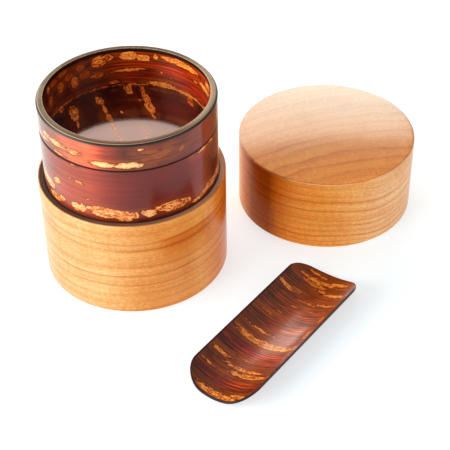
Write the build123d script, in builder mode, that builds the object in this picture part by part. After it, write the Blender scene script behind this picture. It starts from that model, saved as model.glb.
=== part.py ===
from build123d import *
from math import cos, radians, sin, sqrt
import os

# Tea canister, open, with its inner lid in place and its lid and tea scoop beside it.
# The body is a cherry-wood sleeve glued round a bark-covered inner tube, which stands up
# out of it as the neck. The inner lid is a deep dish: its plug goes down into the neck and
# its collar carries the neck's surface on upwards. The lid stands on the table, behind and
# to the right, and the scoop lies in front. Millimetres, +Z up. The origin is the centre of
# the canister's underside.

os.makedirs("parts", exist_ok=True)

# Sheets that the tubes, discs and trough are laid up from
veneer = 0.6                 # cherry-wood face veneer of the sleeve, the lid and the underside
bark = 0.3                   # polished cherry bark

# Canister
canister_dia = 90.0          # outside of the sleeve and of the lid
sleeve_height = 52.2         # table to the sleeve's rim
sleeve_core_wall = 2.7       # wound plies behind the veneer
neck_rise = 28.8             # sleeve's rim to the neck's mouth
neck_core_wall = 1.1
base_thickness = 4.0         # wooden disc that closes the inner tube
foot_radius = 0.5            # rounded lower edges of the sleeve and of the lid
rim_chamfer = 0.2            # broken edge of the sleeve's rim
seam_chamfer = 0.25          # broken edges where the inner lid meets the neck

# Inner lid
inner_lid_fit = 0.25         # radial clearance of its plug in the neck
plug_depth = 9.0             # mouth of the neck down to the bottom of the plug
collar_height = 14.4         # mouth of the neck up to the top of the hoop
inner_lid_core_wall = 0.7
inner_lid_floor = 1.8        # wooden disc in its bottom
hoop_height = 1.3            # wooden hoop that caps its wall
hoop_bevel = 1.15            # how far in the hoop's outer bevel reaches
hoop_chamfer = 0.2           # broken inner edge of the hoop

# Lid
lid_fit = 0.25               # radial clearance of the lid on the neck
lid_height = 39.4            # open end to the crisp edge of the top
lid_crown = 2.25             # rise of the domed top above that edge
lid_disc_edge = 1.0          # wood left between ceiling and top veneer at the edge
lid_edge_radius = 0.5
lid_gap = 17.2               # clear table between the sleeve and the lid
lid_bearing = 25.3           # direction from the canister to the lid, degrees from +X

# Scoop
scoop_length = 99.3
scoop_width = 36.5           # straight across, edge to edge
scoop_depth = 6.7            # depth of the trough at its middle
scoop_core_wall = 0.65
tip_bulge = 3.7              # the end near the lid: how far its curve stands out
tip_corner = 10.4            # and the radius of its corners
mouth_bulge = 1.8            # the same for the other end
mouth_corner = 12.4
scoop_gap = 26.0             # clear table between the sleeve and the scoop's long edge
scoop_heading = 53.3         # direction of the scoop's length, degrees from +X
scoop_reach = 39.8           # how far that way its tip lies beyond the canister's axis
scoop_roll = 3.9             # degrees that it lies rolled towards the canister

# Radii of the layers of the canister and the lids, from the outside in
canister_r = canister_dia / 2
sleeve_core_r = canister_r - veneer
neck_r = sleeve_core_r - sleeve_core_wall
neck_core_r = neck_r - bark
neck_lining_r = neck_core_r - neck_core_wall
neck_bore_r = neck_lining_r - bark
plug_r = neck_bore_r - inner_lid_fit
inner_lid_core_r = plug_r - bark
inner_lid_lining_r = inner_lid_core_r - inner_lid_core_wall
inner_lid_bore_r = inner_lid_lining_r - bark
lid_bore_r = neck_r + lid_fit
lid_lining_r = lid_bore_r + bark

# Heights of the layers, from the table up
base_top = veneer + base_thickness
mouth = sleeve_height + neck_rise
plug_bottom = mouth - plug_depth
inner_lid_floor_top = plug_bottom + bark + inner_lid_floor
inner_lid_top = mouth + collar_height
hoop_bottom = inner_lid_top - hoop_height
lid_ceiling = lid_height - veneer - lid_disc_edge

# A rounding or chamfer never takes the whole edge of the sheet that it is cut on
widest_cut = 0.85
foot_round = min(foot_radius, widest_cut * veneer)
rim_cut = min(rim_chamfer, widest_cut * veneer)
lid_edge_round = min(lid_edge_radius, widest_cut * veneer)
seam_cut = min(seam_chamfer, widest_cut * bark)
lead_in = widest_cut * bark


# Sleeve of cherry-wood veneer, its lower edge rounded and its rim just broken
with BuildPart() as sleeve_veneer:
    with BuildSketch():
        Circle(canister_r)
        Circle(sleeve_core_r, mode=Mode.SUBTRACT)
    extrude(amount=sleeve_height)
    fillet(sleeve_veneer.edges().group_by(Axis.Z)[0].sort_by(SortBy.RADIUS)[-1], foot_round)
    chamfer(sleeve_veneer.edges().group_by(Axis.Z)[-1].sort_by(SortBy.RADIUS)[-1], rim_cut)
sleeve_veneer.part.label = "sleeve_veneer"

# Wound plies behind it, whose end is the brown ring round the foot of the neck
with BuildPart() as sleeve_core:
    with BuildSketch(Plane.XY.offset(veneer)):
        Circle(sleeve_core_r)
        Circle(neck_r, mode=Mode.SUBTRACT)
    extrude(amount=sleeve_height - veneer)
sleeve_core.part.label = "sleeve_core"

# Underside, a disc of veneer let in flush inside the sleeve's own veneer
with BuildPart() as base_veneer:
    with BuildSketch():
        Circle(sleeve_core_r)
    extrude(amount=veneer)
base_veneer.part.label = "base_veneer"

# Inner tube, from the base to the mouth: bark outside, wound wood, bark inside
with BuildPart() as neck_bark:
    with BuildSketch(Plane.XY.offset(veneer)):
        Circle(neck_r)
        Circle(neck_core_r, mode=Mode.SUBTRACT)
    extrude(amount=mouth - veneer)
    chamfer(neck_bark.edges().group_by(Axis.Z)[-1].sort_by(SortBy.RADIUS)[-1], seam_cut)
neck_bark.part.label = "neck_bark"

with BuildPart() as neck_core:
    with BuildSketch(Plane.XY.offset(veneer)):
        Circle(neck_core_r)
        Circle(neck_lining_r, mode=Mode.SUBTRACT)
    extrude(amount=mouth - veneer)
neck_core.part.label = "neck_core"

with BuildPart() as neck_lining:
    with BuildSketch(Plane.XY.offset(base_top)):
        Circle(neck_lining_r)
        Circle(neck_bore_r, mode=Mode.SUBTRACT)
    extrude(amount=mouth - base_top)
    chamfer(neck_lining.edges().group_by(Axis.Z)[-1].sort_by(SortBy.RADIUS)[0], lead_in)
neck_lining.part.label = "neck_lining"

# Wooden disc in the bottom of the inner tube, with bark on its inside face
with BuildPart() as base_core:
    with BuildSketch(Plane.XY.offset(veneer)):
        Circle(neck_lining_r)
    extrude(amount=base_thickness)
base_core.part.label = "base_core"

with BuildPart() as base_bark:
    with BuildSketch(Plane.XY.offset(base_top)):
        Circle(neck_bore_r)
    extrude(amount=bark)
base_bark.part.label = "base_bark"


# Inner lid. One wound tube is both its plug and its wall, up to the hoop
with BuildPart() as inner_lid_core:
    with BuildSketch(Plane.XY.offset(plug_bottom)):
        Circle(inner_lid_core_r)
        Circle(inner_lid_lining_r, mode=Mode.SUBTRACT)
    extrude(amount=hoop_bottom - plug_bottom)
inner_lid_core.part.label = "inner_lid_core"

with BuildPart() as inner_lid_plug_bark:
    with BuildSketch(Plane.XY.offset(plug_bottom)):
        Circle(plug_r)
        Circle(inner_lid_core_r, mode=Mode.SUBTRACT)
    extrude(amount=plug_depth)
    chamfer(inner_lid_plug_bark.edges().group_by(Axis.Z)[0].sort_by(SortBy.RADIUS)[-1], lead_in)
inner_lid_plug_bark.part.label = "inner_lid_plug_bark"

# Its collar is wound round that tube up to the neck's diameter, and sits on the mouth
with BuildPart() as inner_lid_collar:
    with BuildSketch(Plane.XY.offset(mouth)):
        Circle(neck_core_r)
        Circle(inner_lid_core_r, mode=Mode.SUBTRACT)
    extrude(amount=hoop_bottom - mouth)
inner_lid_collar.part.label = "inner_lid_collar"

with BuildPart() as inner_lid_bark:
    with BuildSketch(Plane.XY.offset(mouth)):
        Circle(neck_r)
        Circle(neck_core_r, mode=Mode.SUBTRACT)
    extrude(amount=hoop_bottom - mouth)
    chamfer(inner_lid_bark.edges().group_by(Axis.Z)[0].sort_by(SortBy.RADIUS)[-1], seam_cut)
inner_lid_bark.part.label = "inner_lid_bark"

# The hoop covers the ends of all the plies: flat on top, bevelled outside
with BuildPart() as inner_lid_hoop:
    with BuildSketch(Plane.XZ):
        with BuildLine():
            Polyline(
                (inner_lid_bore_r, hoop_bottom),
                (neck_r, hoop_bottom),
                (neck_r - hoop_bevel, inner_lid_top),
                (inner_lid_bore_r + hoop_chamfer, inner_lid_top),
                (inner_lid_bore_r, inner_lid_top - hoop_chamfer),
                close=True,
            )
        make_face()
    revolve(axis=Axis.Z)
inner_lid_hoop.part.label = "inner_lid_hoop"

# Its floor is a wooden disc between two discs of bark, and its wall is lined with bark
with BuildPart() as inner_lid_underside:
    with BuildSketch(Plane.XY.offset(plug_bottom)):
        Circle(inner_lid_lining_r)
    extrude(amount=bark)
inner_lid_underside.part.label = "inner_lid_underside"

with BuildPart() as inner_lid_floor_core:
    with BuildSketch(Plane.XY.offset(plug_bottom + bark)):
        Circle(inner_lid_lining_r)
    extrude(amount=inner_lid_floor)
inner_lid_floor_core.part.label = "inner_lid_floor_core"

with BuildPart() as inner_lid_floor_bark:
    with BuildSketch(Plane.XY.offset(inner_lid_floor_top)):
        Circle(inner_lid_lining_r)
    extrude(amount=bark)
inner_lid_floor_bark.part.label = "inner_lid_floor_bark"

with BuildPart() as inner_lid_lining:
    with BuildSketch(Plane.XY.offset(inner_lid_floor_top + bark)):
        Circle(inner_lid_lining_r)
        Circle(inner_lid_bore_r, mode=Mode.SUBTRACT)
    extrude(amount=hoop_bottom - inner_lid_floor_top - bark)
inner_lid_lining.part.label = "inner_lid_lining"


# The lid's frame: its centre on the table, and a plane through its axis for profiles
lid_distance = canister_dia + lid_gap
lid_plane = Plane(
    (lid_distance * cos(radians(lid_bearing)), lid_distance * sin(radians(lid_bearing)), 0)
)
lid_profile_plane = Plane(lid_plane.origin, x_dir=(1, 0, 0), z_dir=(0, -1, 0))

# The top is part of a ball that stands lid_crown above the edge at its middle
crown_radius = (canister_r**2 + lid_crown**2) / (2 * lid_crown)
crown_centre = lid_height + lid_crown - crown_radius


def space_under_crown(ball_radius):
    """Solid of the lid's diameter, from the table up to a ball about the crown's centre."""

    def height(reach):
        return crown_centre + sqrt(ball_radius**2 - reach**2)

    with BuildPart() as space:
        with BuildSketch(lid_profile_plane):
            with BuildLine():
                ThreePointArc(
                    (0, height(0)),
                    (canister_r / 2, height(canister_r / 2)),
                    (canister_r, height(canister_r)),
                )
                Polyline((canister_r, height(canister_r)), (canister_r, 0), (0, 0), (0, height(0)))
            make_face()
        revolve(axis=Axis(lid_plane.origin, (0, 0, 1)))
    return space.part


lid_envelope = space_under_crown(crown_radius)
under_top_veneer = space_under_crown(crown_radius - veneer)

# Wall of the lid: side veneer, wound plies and bark lining
with BuildPart() as lid_veneer:
    with BuildSketch(lid_plane):
        Circle(canister_r)
        Circle(sleeve_core_r, mode=Mode.SUBTRACT)
    extrude(amount=lid_height)
    fillet(lid_veneer.edges().group_by(Axis.Z)[0].sort_by(SortBy.RADIUS)[-1], foot_round)
    add(under_top_veneer, mode=Mode.INTERSECT)
lid_veneer.part.label = "lid_veneer"

with BuildPart() as lid_core:
    with BuildSketch(lid_plane):
        Circle(sleeve_core_r)
        Circle(lid_lining_r, mode=Mode.SUBTRACT)
    extrude(amount=lid_height)
    add(under_top_veneer, mode=Mode.INTERSECT)
lid_core.part.label = "lid_core"

with BuildPart() as lid_lining:
    with BuildSketch(lid_plane):
        Circle(lid_lining_r)
        Circle(lid_bore_r, mode=Mode.SUBTRACT)
    extrude(amount=lid_ceiling - bark)
    chamfer(lid_lining.edges().group_by(Axis.Z)[0].sort_by(SortBy.RADIUS)[0], lead_in)
lid_lining.part.label = "lid_lining"

# Top of the lid: bark ceiling, domed wooden disc, and one veneer over disc and wall
with BuildPart() as lid_ceiling_bark:
    with BuildSketch(lid_plane.offset(lid_ceiling - bark)):
        Circle(lid_lining_r)
    extrude(amount=bark)
lid_ceiling_bark.part.label = "lid_ceiling_bark"

with BuildPart() as lid_top_core:
    with BuildSketch(lid_plane.offset(lid_ceiling)):
        Circle(lid_lining_r)
    extrude(amount=lid_height + lid_crown - lid_ceiling)
    add(under_top_veneer, mode=Mode.INTERSECT)
lid_top_core.part.label = "lid_top_core"

with BuildPart() as lid_top_veneer:
    add(lid_envelope)
    add(under_top_veneer, mode=Mode.SUBTRACT)
    rims = lid_top_veneer.edges().filter_by(GeomType.CIRCLE).group_by(SortBy.RADIUS)[0]
    fillet(rims.sort_by(Axis.Z)[-1], lid_edge_round)
lid_top_veneer.part.label = "lid_top_veneer"


# The scoop is a stretch of a wide tube, cut to its plan. Radii of its sheets, inside out
scoop_face_r = (scoop_width**2 / 4 + scoop_depth**2) / (2 * scoop_depth)
scoop_core_face_r = scoop_face_r + bark
scoop_core_back_r = scoop_core_face_r + scoop_core_wall
scoop_back_r = scoop_core_back_r + bark

# It lies on its back: the tube's axis is one back radius above the table. On the plan's
# plane X runs along the scoop to its tip and Y across it, towards the canister
along = Vector(cos(radians(scoop_heading)), sin(radians(scoop_heading)), 0)
across = Vector(-along.Y, along.X, 0)
upright = Vector(0, 0, cos(radians(scoop_roll))) + across * sin(radians(scoop_roll))
scoop_side = canister_r + scoop_gap + scoop_width / 2
scoop_tip = along * scoop_reach - across * scoop_side + Vector(0, 0, scoop_back_r)
plan_plane = Plane(scoop_tip, x_dir=along, z_dir=upright)
section_plane = Plane(scoop_tip, x_dir=across, z_dir=along)

# Block of the scoop's plan, from under its back up to the tube's axis
scoop_half = scoop_width / 2
tip_start = -tip_bulge
mouth_start = mouth_bulge - scoop_length
widest_corner = 0.9 * scoop_half
with BuildPart(mode=Mode.PRIVATE) as scoop_plan:
    with BuildSketch(plan_plane.offset(-scoop_back_r - bark)) as outline:
        with BuildLine():
            Line((tip_start, scoop_half), (mouth_start, scoop_half))
            ThreePointArc(
                (mouth_start, scoop_half), (-scoop_length, 0), (mouth_start, -scoop_half)
            )
            Line((mouth_start, -scoop_half), (tip_start, -scoop_half))
            ThreePointArc((tip_start, -scoop_half), (0, 0), (tip_start, scoop_half))
        make_face()
        corners = outline.vertices().sort_by(Axis.X)
        fillet(corners[:2], min(mouth_corner, widest_corner))
        fillet(corners[2:], min(tip_corner, widest_corner))
    extrude(amount=scoop_back_r + bark)

# Thin bent wood between two sheets of bark
with BuildPart() as scoop_core:
    with BuildSketch(section_plane):
        Circle(scoop_core_back_r)
        Circle(scoop_core_face_r, mode=Mode.SUBTRACT)
    extrude(amount=-scoop_length)
    add(scoop_plan.part, mode=Mode.INTERSECT)
scoop_core.part.label = "scoop_core"

with BuildPart() as scoop_face_bark:
    with BuildSketch(section_plane):
        Circle(scoop_core_face_r)
        Circle(scoop_face_r, mode=Mode.SUBTRACT)
    extrude(amount=-scoop_length)
    add(scoop_plan.part, mode=Mode.INTERSECT)
scoop_face_bark.part.label = "scoop_face_bark"

with BuildPart() as scoop_back_bark:
    with BuildSketch(section_plane):
        Circle(scoop_back_r)
        Circle(scoop_core_back_r, mode=Mode.SUBTRACT)
    extrude(amount=-scoop_length)
    add(scoop_plan.part, mode=Mode.INTERSECT)
scoop_back_bark.part.label = "scoop_back_bark"


canister = (
    sleeve_veneer, sleeve_core, base_veneer, neck_bark, neck_core, neck_lining, base_core, base_bark
)
inner_lid = (
    inner_lid_core, inner_lid_plug_bark, inner_lid_collar, inner_lid_bark, inner_lid_hoop,
    inner_lid_underside, inner_lid_floor_core, inner_lid_floor_bark, inner_lid_lining,
)
lid = (lid_veneer, lid_core, lid_lining, lid_ceiling_bark, lid_top_core, lid_top_veneer)
scoop = (scoop_core, scoop_face_bark, scoop_back_bark)

for piece in canister + inner_lid + lid + scoop:
    export_step(piece.part, "parts/" + piece.part.label + ".step")
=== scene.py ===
import random
from math import atan2, cos, hypot, pi, radians, sin, sqrt

import bmesh
import bpy
from mathutils import Matrix, Vector, noise


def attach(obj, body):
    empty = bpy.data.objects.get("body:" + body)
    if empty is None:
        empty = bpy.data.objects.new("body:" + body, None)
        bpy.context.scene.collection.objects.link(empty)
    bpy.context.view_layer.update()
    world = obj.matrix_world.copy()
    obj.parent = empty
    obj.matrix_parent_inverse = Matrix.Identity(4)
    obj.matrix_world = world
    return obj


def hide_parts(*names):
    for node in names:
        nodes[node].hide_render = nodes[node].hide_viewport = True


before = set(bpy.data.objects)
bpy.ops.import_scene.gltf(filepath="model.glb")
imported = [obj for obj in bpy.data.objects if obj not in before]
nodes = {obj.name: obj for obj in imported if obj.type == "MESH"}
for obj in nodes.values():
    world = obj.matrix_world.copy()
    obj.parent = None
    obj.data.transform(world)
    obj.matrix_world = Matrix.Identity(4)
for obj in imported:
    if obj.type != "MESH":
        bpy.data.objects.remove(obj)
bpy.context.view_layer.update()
scene = bpy.context.scene


# Sleeve plies
# The wall behind the sleeve's face is thin wood wound round a former and glued, ply on ply.
# Its end shows as the brown ring round the foot of the neck, with a fine line between plies.
MM = 0.001
PLIES_R = 44.4           # under the face veneer
NECK_R = 41.7            # outside of the neck
UNDER_VENEER = 0.6       # top of the veneer on the underside
SLEEVE_RIM = 52.2
CRISP = 0.03             # rounding of an edge that was only cut
SHARP = 40               # degrees: surfaces that meet at more than this keep their edge


def place(tree, kind, inputs=None, **settings):
    """Adds a node to a tree, with its settings, plain values and links."""
    made = tree.nodes.new(kind)
    for setting, value in settings.items():
        setattr(made, setting, value)
    for socket, value in (inputs or {}).items():
        if isinstance(value, bpy.types.NodeSocket):
            tree.links.new(value, made.inputs[socket])
        else:
            made.inputs[socket].default_value = value
    return made


def reckon(tree, operation, *values):
    """A Math node on up to three values, and its result."""
    return place(tree, "ShaderNodeMath", dict(enumerate(values)), operation=operation).outputs[0]


def plus(tree, first, second):
    return reckon(tree, "ADD", first, second)


def less(tree, first, second):
    return reckon(tree, "SUBTRACT", first, second)


def times(tree, first, second):
    return reckon(tree, "MULTIPLY", first, second)


def over(tree, first, second):
    return reckon(tree, "DIVIDE", first, second)


def start_group(name, inputs, outputs, kind="ShaderNodeTree"):
    """A node group with named sockets: inputs are (name, kind), and a value if they have one."""
    tree = bpy.data.node_groups.new(name, kind)
    for label, socket_kind, *value in inputs:
        socket = tree.interface.new_socket(
            label, in_out="INPUT", socket_type="NodeSocket" + socket_kind
        )
        if value:
            socket.default_value = value[0]
    for label, socket_kind in outputs:
        tree.interface.new_socket(label, in_out="OUTPUT", socket_type="NodeSocket" + socket_kind)
    return tree, place(tree, "NodeGroupInput").outputs


def join_parts(tree, x, y):
    """A place from its X and Y."""
    return place(tree, "ShaderNodeCombineXYZ", {"X": x, "Y": y}).outputs[0]


WALL_SIZES = ("Inner Radius", "Outer Radius", "Bottom", "Top")
WALL_EDGES = ("Rim Inside", "Rim Outside", "Foot Outside", "Foot Inside")
WALL_COUNTS = ("Plies", "Segments", "Outer Rows", "Inner Rows")


def grow_wound_wall():
    """Geometry Nodes tree of a round wall of one or more plies, each a closed ring."""
    tree, given = start_group(
        "wound_wall",
        [(label, "Float") for label in WALL_SIZES + WALL_EDGES]
        + [(label, "Int") for label in WALL_COUNTS]
        + [("Centre", "Vector"), ("Finish", "Material")],
        [("Wall", "Geometry")], "GeometryNodeTree",
    )
    first = place(tree, "GeometryNodeRepeatInput")
    last = place(tree, "GeometryNodeRepeatOutput")
    first.pair_with_output(last)
    tree.links.new(given["Plies"], first.inputs["Iterations"])

    # Section of one ply, drawn inwards from its outside and upside down, as the path turns it
    total = less(tree, given["Outer Radius"], given["Inner Radius"])
    ply = over(tree, total, given["Plies"])
    inside = reckon(tree, "MULTIPLY_ADD", first.outputs["Iteration"], ply, given["Inner Radius"])
    outside = plus(tree, inside, ply)
    back = times(tree, ply, -1.0)
    low = times(tree, given["Bottom"], -1.0)
    high = times(tree, given["Top"], -1.0)
    corners = {}
    for number, corner in enumerate(((back, high), (0.0, high), (0.0, low), (back, low))):
        corners[f"Point {number + 1}"] = join_parts(tree, *corner)
    section = place(tree, "GeometryNodeCurvePrimitiveQuadrilateral", corners, mode="POINTS")
    index = place(tree, "GeometryNodeInputIndex").outputs[0]
    rounding = place(tree, "GeometryNodeIndexSwitch", data_type="FLOAT")
    while len(rounding.index_switch_items) < len(WALL_EDGES):
        rounding.index_switch_items.new()
    tree.links.new(index, rounding.inputs["Index"])
    for number, label in enumerate(WALL_EDGES):
        tree.links.new(given[label], rounding.inputs[number + 1])
    arc_steps = 3
    rounded = place(
        tree, "GeometryNodeFilletCurve",
        {"Curve": section.outputs["Curve"], "Count": arc_steps, "Radius": rounding.outputs[0]},
        mode="POLY",
    )

    # Rows of faces up the outside and the inside, which follow the 2nd and 4th corners
    place_in_pair = over(tree, plus(tree, index, 1.0), 2.0 * (arc_steps + 1))
    starts_side = reckon(tree, "LESS_THAN", reckon(tree, "FRACT", place_in_pair), 0.01)
    rows = place(
        tree, "GeometryNodeSwitch",
        {
            "Switch": reckon(tree, "LESS_THAN", place_in_pair, 1.5),
            "False": given["Inner Rows"],
            "True": given["Outer Rows"],
        },
        input_type="INT",
    )
    divided = place(
        tree, "GeometryNodeSubdivideCurve",
        {"Curve": rounded.outputs[0], "Cuts": times(tree, rows.outputs[0], starts_side)},
    )
    path = place(
        tree, "GeometryNodeCurvePrimitiveCircle",
        {"Resolution": given["Segments"], "Radius": outside}, mode="RADIUS",
    )
    upright = place(
        tree, "GeometryNodeSetCurveNormal", {"Curve": path.outputs["Curve"]}, mode="Z_UP"
    )
    ring = place(
        tree, "GeometryNodeCurveToMesh",
        {"Curve": upright.outputs[0], "Profile Curve": divided.outputs[0]},
    )
    together = place(tree, "GeometryNodeJoinGeometry", {0: ring.outputs[0]})
    tree.links.new(first.outputs["Geometry"], together.inputs[0])
    tree.links.new(together.outputs[0], last.inputs["Geometry"])

    smooth = place(tree, "GeometryNodeSetShadeSmooth", {"Geometry": last.outputs["Geometry"]})
    standing = place(
        tree, "GeometryNodeTransform",
        {"Geometry": smooth.outputs[0], "Translation": given["Centre"]},
    )
    real = place(tree, "GeometryNodeRealizeInstances", {"Geometry": standing.outputs[0]})
    finished = place(
        tree, "GeometryNodeSetMaterial", {"Geometry": real.outputs[0], "Material": given["Finish"]}
    )
    place(tree, "NodeGroupOutput", {0: finished.outputs[0]})
    return tree


wound_wall = grow_wound_wall()
wall_sockets = {
    item.name: item.identifier
    for item in wound_wall.interface.items_tree
    if item.in_out == "INPUT"
}


def wind_wall(name, finish, inner, outer, bottom, top, centre=(0.0, 0.0), edges=(CRISP,) * 4,
              plies=1, segments=256, rows=(1, 1)):
    """Winds one wall. Sizes are in millimetres, and edges go round from the rim's inside."""
    wall = bpy.data.objects.new(name, bpy.data.meshes.new(name))
    scene.collection.objects.link(wall)
    winding = wall.modifiers.new("winding", "NODES")
    winding.node_group = wound_wall
    for label, size in zip(WALL_SIZES + WALL_EDGES, (inner, outer, bottom, top, *edges)):
        winding[wall_sockets[label]] = size * MM
    for label, count in zip(WALL_COUNTS, (plies, segments, *rows)):
        winding[wall_sockets[label]] = count
    winding[wall_sockets["Centre"]] = (centre[0] * MM, centre[1] * MM, 0.0)
    winding[wall_sockets["Finish"]] = finish
    seen = wall.evaluated_get(bpy.context.evaluated_depsgraph_get())
    plain = bpy.data.meshes.new_from_object(seen)
    wall.modifiers.clear()
    wall.data = plain
    plain.set_sharp_from_angle(angle=radians(SHARP))
    return wall


def hand_over(piece, body, node):
    """The piece rides on its body and stands for its node, which is hidden."""
    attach(piece, body)
    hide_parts(node)


def set_plain(node, values):
    """Sets plain values on a node's sockets, whose names are given with underscores."""
    for label, value in values.items():
        node.inputs[label.replace("_", " ")].default_value = value


def start_finish(name, **plain):
    """A material with a Principled shader, its plain values, and object space in millimetres."""
    finish = bpy.data.materials.new(name)
    finish.use_nodes = True
    tree = finish.node_tree
    shader = tree.nodes["Principled BSDF"]
    set_plain(shader, plain)
    where = place(tree, "ShaderNodeTexCoord").outputs["Object"]
    return finish, tree, shader, where


def in_millimetres(tree, where, centre=(0.0, 0.0), turn=0.0):
    """Object space in millimetres about an upright axis, turned about it."""
    shifted = place(
        tree, "ShaderNodeMapping",
        {"Vector": where, "Location": (-centre[0] * MM, -centre[1] * MM, 0.0)},
    )
    turned = place(
        tree, "ShaderNodeMapping",
        {"Vector": shifted.outputs[0], "Rotation": (0.0, 0.0, -radians(turn)),
         "Scale": (1 / MM, 1 / MM, 1 / MM)},
    )
    return turned.outputs[0]


def parts_of(tree, spot):
    """The X, Y and Z of a place."""
    return place(tree, "ShaderNodeSeparateXYZ", {0: spot}).outputs


def reach_from_axis(tree, local):
    """Distance from the upright axis."""
    flat = place(
        tree, "ShaderNodeVectorMath", {0: local, 1: (1.0, 1.0, 0.0)}, operation="MULTIPLY"
    ).outputs[0]
    return place(tree, "ShaderNodeVectorMath", {0: flat}, operation="LENGTH").outputs["Value"]


def speckle(tree, where, stretch, detail=3.0, rough=0.5):
    """Noise from 0 to 1 whose grains are stretched along the axes of a place in millimetres."""
    stretched = place(tree, "ShaderNodeMapping", {"Vector": where, "Scale": stretch})
    grain = place(
        tree, "ShaderNodeTexNoise",
        {"Vector": stretched.outputs[0], "Scale": 1.0, "Detail": detail, "Roughness": rough},
    )
    return grain.outputs["Fac"]


def step(tree, value, low, high, out_low=0.0, out_high=1.0):
    """A soft step of a value between two limits."""
    made = place(
        tree, "ShaderNodeMapRange", {0: value, 1: low, 2: high, 3: out_low, 4: out_high},
        interpolation_type="SMOOTHSTEP",
    )
    return made.outputs[0]


def blend(tree, share, first, second, how="MIX"):
    """Two colours mixed by a share."""
    made = place(
        tree, "ShaderNodeMix", {0: share, 6: first, 7: second}, data_type="RGBA", blend_type=how
    )
    return made.outputs[2]


def stain(tree, colour, *stains):
    """Stains a colour: each stain is (a value, where it starts, is full, its share, its tint)."""
    for value, starts, full, share, tint in stains:
        colour = blend(tree, step(tree, value, starts, full, 0.0, share), colour, tint)
    return colour


def show(tree, shader, colour, rough, height, strength, depth):
    """Gives the shader its colour, roughness and relief, whose depth is in millimetres."""
    bump = place(
        tree, "ShaderNodeBump", {"Strength": strength, "Distance": depth * MM, "Height": height}
    )
    for value, label in ((colour, "Base Color"), (rough, "Roughness"), (bump.outputs[0], "Normal")):
        tree.links.new(value, shader.inputs[label])


def ply_finish(name, inner, outer, plies, centre=(0.0, 0.0), painted_light_sides=(1.0, 1.0, 1.0)):
    """Dull brown wound wood, with a dark glue line at every ply on its end.

    The sides say how much light and shade is painted on it at the left, in the middle and at
    the right.
    """
    finish, tree, shader, where = start_finish(name, Specular_IOR_Level=0.3)
    local = in_millimetres(tree, where, centre)
    glue_wander = 0.16
    reach = less(tree, reach_from_axis(tree, local), glue_wander / 2)
    wander = speckle(tree, local, (0.15, 0.15, 0.3), 2.0)
    reach = reckon(tree, "MULTIPLY_ADD", wander, glue_wander, reach)
    turns = over(tree, less(tree, reach, inner), (outer - inner) / plies)
    glue = step(tree, reckon(tree, "PINGPONG", turns, 0.5), 0.20, 0.07)
    fibre = speckle(tree, local, (1.4, 1.4, 6.0), 4.0, 0.65)
    cloud = speckle(tree, local, (0.12, 0.12, 0.2), 2.0)
    wood = blend(tree, fibre, (0.21, 0.100, 0.060, 1), (0.40, 0.215, 0.135, 1))
    wood = stain(tree, wood, (cloud, 0.35, 0.7, 0.6, (0.22, 0.125, 0.085, 1)))
    wood = blend(tree, times(tree, glue, 0.9), wood, (0.012, 0.006, 0.004, 1))
    # The innermost ply is painted near black, as shade where the end meets the wall inside it
    wood = stain(tree, wood, (turns, 1.2, 0.5, 0.85, (0.022, 0.009, 0.005, 1)))
    # Light and shade are painted on by side, from the left through the middle to the right
    across = parts_of(tree, local)["X"]
    left, middle, right = painted_light_sides
    side = plus(
        tree, step(tree, across, -outer, 0.0, left, middle),
        step(tree, across, 0.0, outer, 0.0, right - middle),
    )
    wood = blend(tree, 1.0, wood, side, "MULTIPLY")
    height = less(tree, times(tree, fibre, 0.4), glue)
    show(tree, shader, wood, step(tree, fibre, 0.2, 0.8, 0.55, 0.8), height, 0.5, 0.05)
    return finish


sleeve_plies = wind_wall(
    "sleeve_wound_plies",
    ply_finish("wound_wood_sleeve", NECK_R, PLIES_R, 4, painted_light_sides=(0.42, 1.02, 2.9)),
    NECK_R, PLIES_R, UNDER_VENEER, SLEEVE_RIM, edges=(0.1, 0.1, CRISP, CRISP), plies=4,
)
hand_over(sleeve_plies, "canister", "sleeve_core")


# Sleeve face
# One sheet of cherry veneer is wrapped round the plies, its grain running round the wall, and
# sanded and lacquered to a satin. It meets itself in a scarfed joint at the back.
FACE_R = 45.0            # outside of the sleeve and of the lid


def unroll_group():
    """Distance round an upright wall from the front, and height, in millimetres."""
    tree, given = start_group(
        "round_the_wall", [("Place", "Vector"), ("Radius", "Float", FACE_R)], [("Sheet", "Vector")]
    )
    parts = parts_of(tree, given["Place"])
    turn = reckon(tree, "ARCTAN2", parts["X"], times(tree, parts["Y"], -1.0))
    sheet = join_parts(tree, times(tree, turn, given["Radius"]), parts["Z"])
    place(tree, "NodeGroupOutput", {0: sheet})
    return tree


round_the_wall = unroll_group()


def wound_sheet(radius, centre=(0.0, 0.0), turn=0.0):
    """How a finish finds the flat sheet that an upright wall was wound from."""
    def find(tree, where):
        group = place(tree, "ShaderNodeGroup", node_tree=round_the_wall)
        tree.links.new(in_millimetres(tree, where, centre, turn), group.inputs["Place"])
        group.inputs["Radius"].default_value = radius
        return group.outputs["Sheet"]
    return find


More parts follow.
